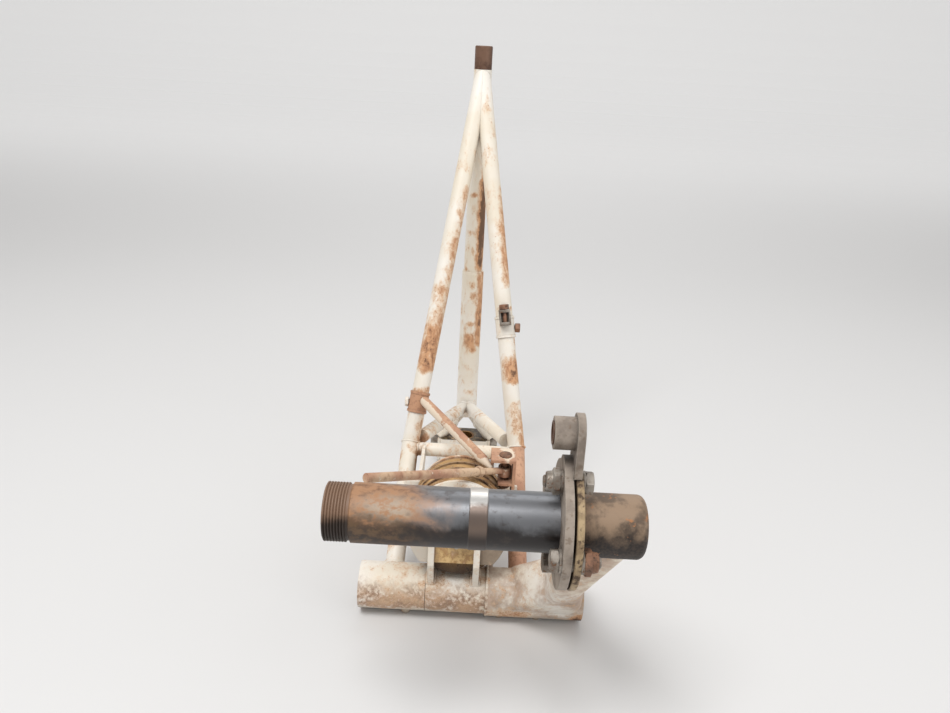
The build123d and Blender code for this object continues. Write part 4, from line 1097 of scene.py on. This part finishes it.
joined("clamp_bolt_set", right_bolts, "truss", rusty_bolt, "zinc_steel", "clamp_bolts")

# %% Bolts of the bearing block's cheeks
CHEEK_X0, CHEEK_X1, SIDE_BOLT_Z = -30.5, 28.5, 26.5
SIDE_AF, SIDE_HEAD_H, SIDE_BOLT_R, SIDE_SHANK = 12.7, 8.0, 3.95, 15
side_bolts = []
for name, x, way in (("left_side_bolt", CHEEK_X0, -ACROSS), ("right_side_bolt", CHEEK_X1, ACROSS)):
    side_bolts += small_bolt(name, (x, 0, SIDE_BOLT_Z), way, SIDE_AF, SIDE_HEAD_H, SIDE_BOLT_R, SIDE_SHANK)
joined("side_bolt_set", side_bolts, "truss", zinc, "zinc_steel", "bearing_side_bolts")

# %% [markdown]
# The door rod turns on an upright bolt with a low round head, and a nut below.
# Its place and length are read from the CAD bolt's own box.

# %% Bolt of the door rod
ROD_HEAD_H, ROD_BOLT_R, ROD_TIP_R, ROD_TIP_H = 1.6, 3.17, 2.6, 0.4
ROD_NUT_AF, ROD_NUT_H, ROD_NUT_UP = 10.0, 5.0, 7.0
ROD_HEAD = [(0, 0), (0, 5.4), (0.8, 5.3), (1.3, 4.4), (ROD_HEAD_H, 2.4), (ROD_HEAD_H, 0)]
low, high = (v * 1000 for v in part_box("rod_bolt"))
pivot = Vector(((low.x + high.x) / 2, (low.y + high.y) / 2, high.z - ROD_HEAD_H))
stem = high.z - low.z - ROD_HEAD_H
stem_profile = [(0, ROD_BOLT_R), (stem - ROD_TIP_H, ROD_BOLT_R), (stem, ROD_TIP_R), (stem, 0)]
nut_seat = Vector((pivot.x, pivot.y, low.z + ROD_NUT_UP))
rod_pieces = [
    turned("rod_bolt_head", pivot, UP, ROD_HEAD, 32),
    turned("rod_bolt_stem", pivot, -UP, stem_profile, 24),
    hexagon("rod_nut", nut_seat, -UP, ROD_NUT_AF, ROD_NUT_H, 0.6),
]
joined("rod_bolt_set", rod_pieces, "truss", rusty_bolt, "zinc_steel", "rod_bolt")

# %% [markdown]
# ## Floor and light
# The backdrop is plain and pale, so that the leg is judged by itself. It is one
# sheet: a flat floor whose back edge is extruded three times, up and away, and
# rounded by subdivision. Far from the lamps it would fall into grey, so it gives
# off a little light of its own there.

# %% Floor
FLOOR_SCALE, FLOOR_Y, FLOOR_DROP = (6.0, 4.4, 1.0), 0.2, 0.0002
WALL_STEPS = ((0, 0.35, 0.25), (0, 0.12, 0.5), (0, 0.0, 3.0))
FLOOR_LIGHT = 0.26
bpy.ops.mesh.primitive_plane_add(size=1.0, location=(0, FLOOR_Y, -FLOOR_DROP))
floor = bpy.context.active_object
floor.name = "floor"
floor.scale = FLOOR_SCALE
bpy.ops.object.mode_set(mode="EDIT")
bpy.ops.mesh.select_all(action="DESELECT")
bpy.ops.object.mode_set(mode="OBJECT")
for edge_line in floor.data.edges:
    edge_line.select = all(floor.data.vertices[v].co.y > 0 for v in edge_line.vertices)
bpy.ops.object.mode_set(mode="EDIT")
bpy.ops.mesh.select_mode(type="EDGE")
for step in WALL_STEPS:
    bpy.ops.mesh.extrude_region_move(TRANSFORM_OT_translate={"value": step})
bpy.ops.object.mode_set(mode="OBJECT")
bpy.ops.object.modifier_add(type="SUBSURF")
floor.modifiers[-1].levels = floor.modifiers[-1].render_levels = 3
b = Bench("pale_floor")
far = b.ramp(b.along("Y"), 0.10, 0.50)
b.feed(b.shader.inputs["Emission Color"], b.mix(far, (0, 0, 0, 1), (1, 1, 1, 1)))
b.shader.inputs["Emission Strength"].default_value = FLOOR_LIGHT
wear_finish(floor, b.finish(tone(220, 219, 218), 0.95))

# %% [markdown]
# A large soft lamp above and to the left draws the long highlight on the axle, a
# second fills the right side, a third lights the top edges from behind, and the
# world lights what is left. The larger a lamp, the softer its shadow.


# %% Lamps and world
WORLD_LIGHT = 0.5


def lamp(name, place, target, size, watts):
    """A square soft lamp that looks at a point."""
    data = bpy.data.lights.new(name, "AREA")
    data.size = size
    data.energy = watts
    made = placed(name, data)
    made.location = place
    made.rotation_mode = "QUATERNION"
    made.rotation_quaternion = (Vector(target) - Vector(place)).to_track_quat("-Z", "Y")
    print("lamp:", name, "watts:", watts)


lamp("key", (-0.5, -0.9, 1.75), (0, -0.2, 0.15), size=0.8, watts=21)
lamp("fill", (1.3, -0.9, 0.9), (0, -0.15, 0.15), size=1.0, watts=6)
lamp("rim", (0.2, 1.0, 1.5), (0, -0.1, 0.2), size=0.8, watts=5)
world = bpy.data.worlds.new("studio")
bpy.context.scene.world = world
world.use_nodes = True
background = world.node_tree.nodes["Background"]
background.inputs["Color"].default_value = (1, 1, 1, 1)
background.inputs["Strength"].default_value = WORLD_LIGHT
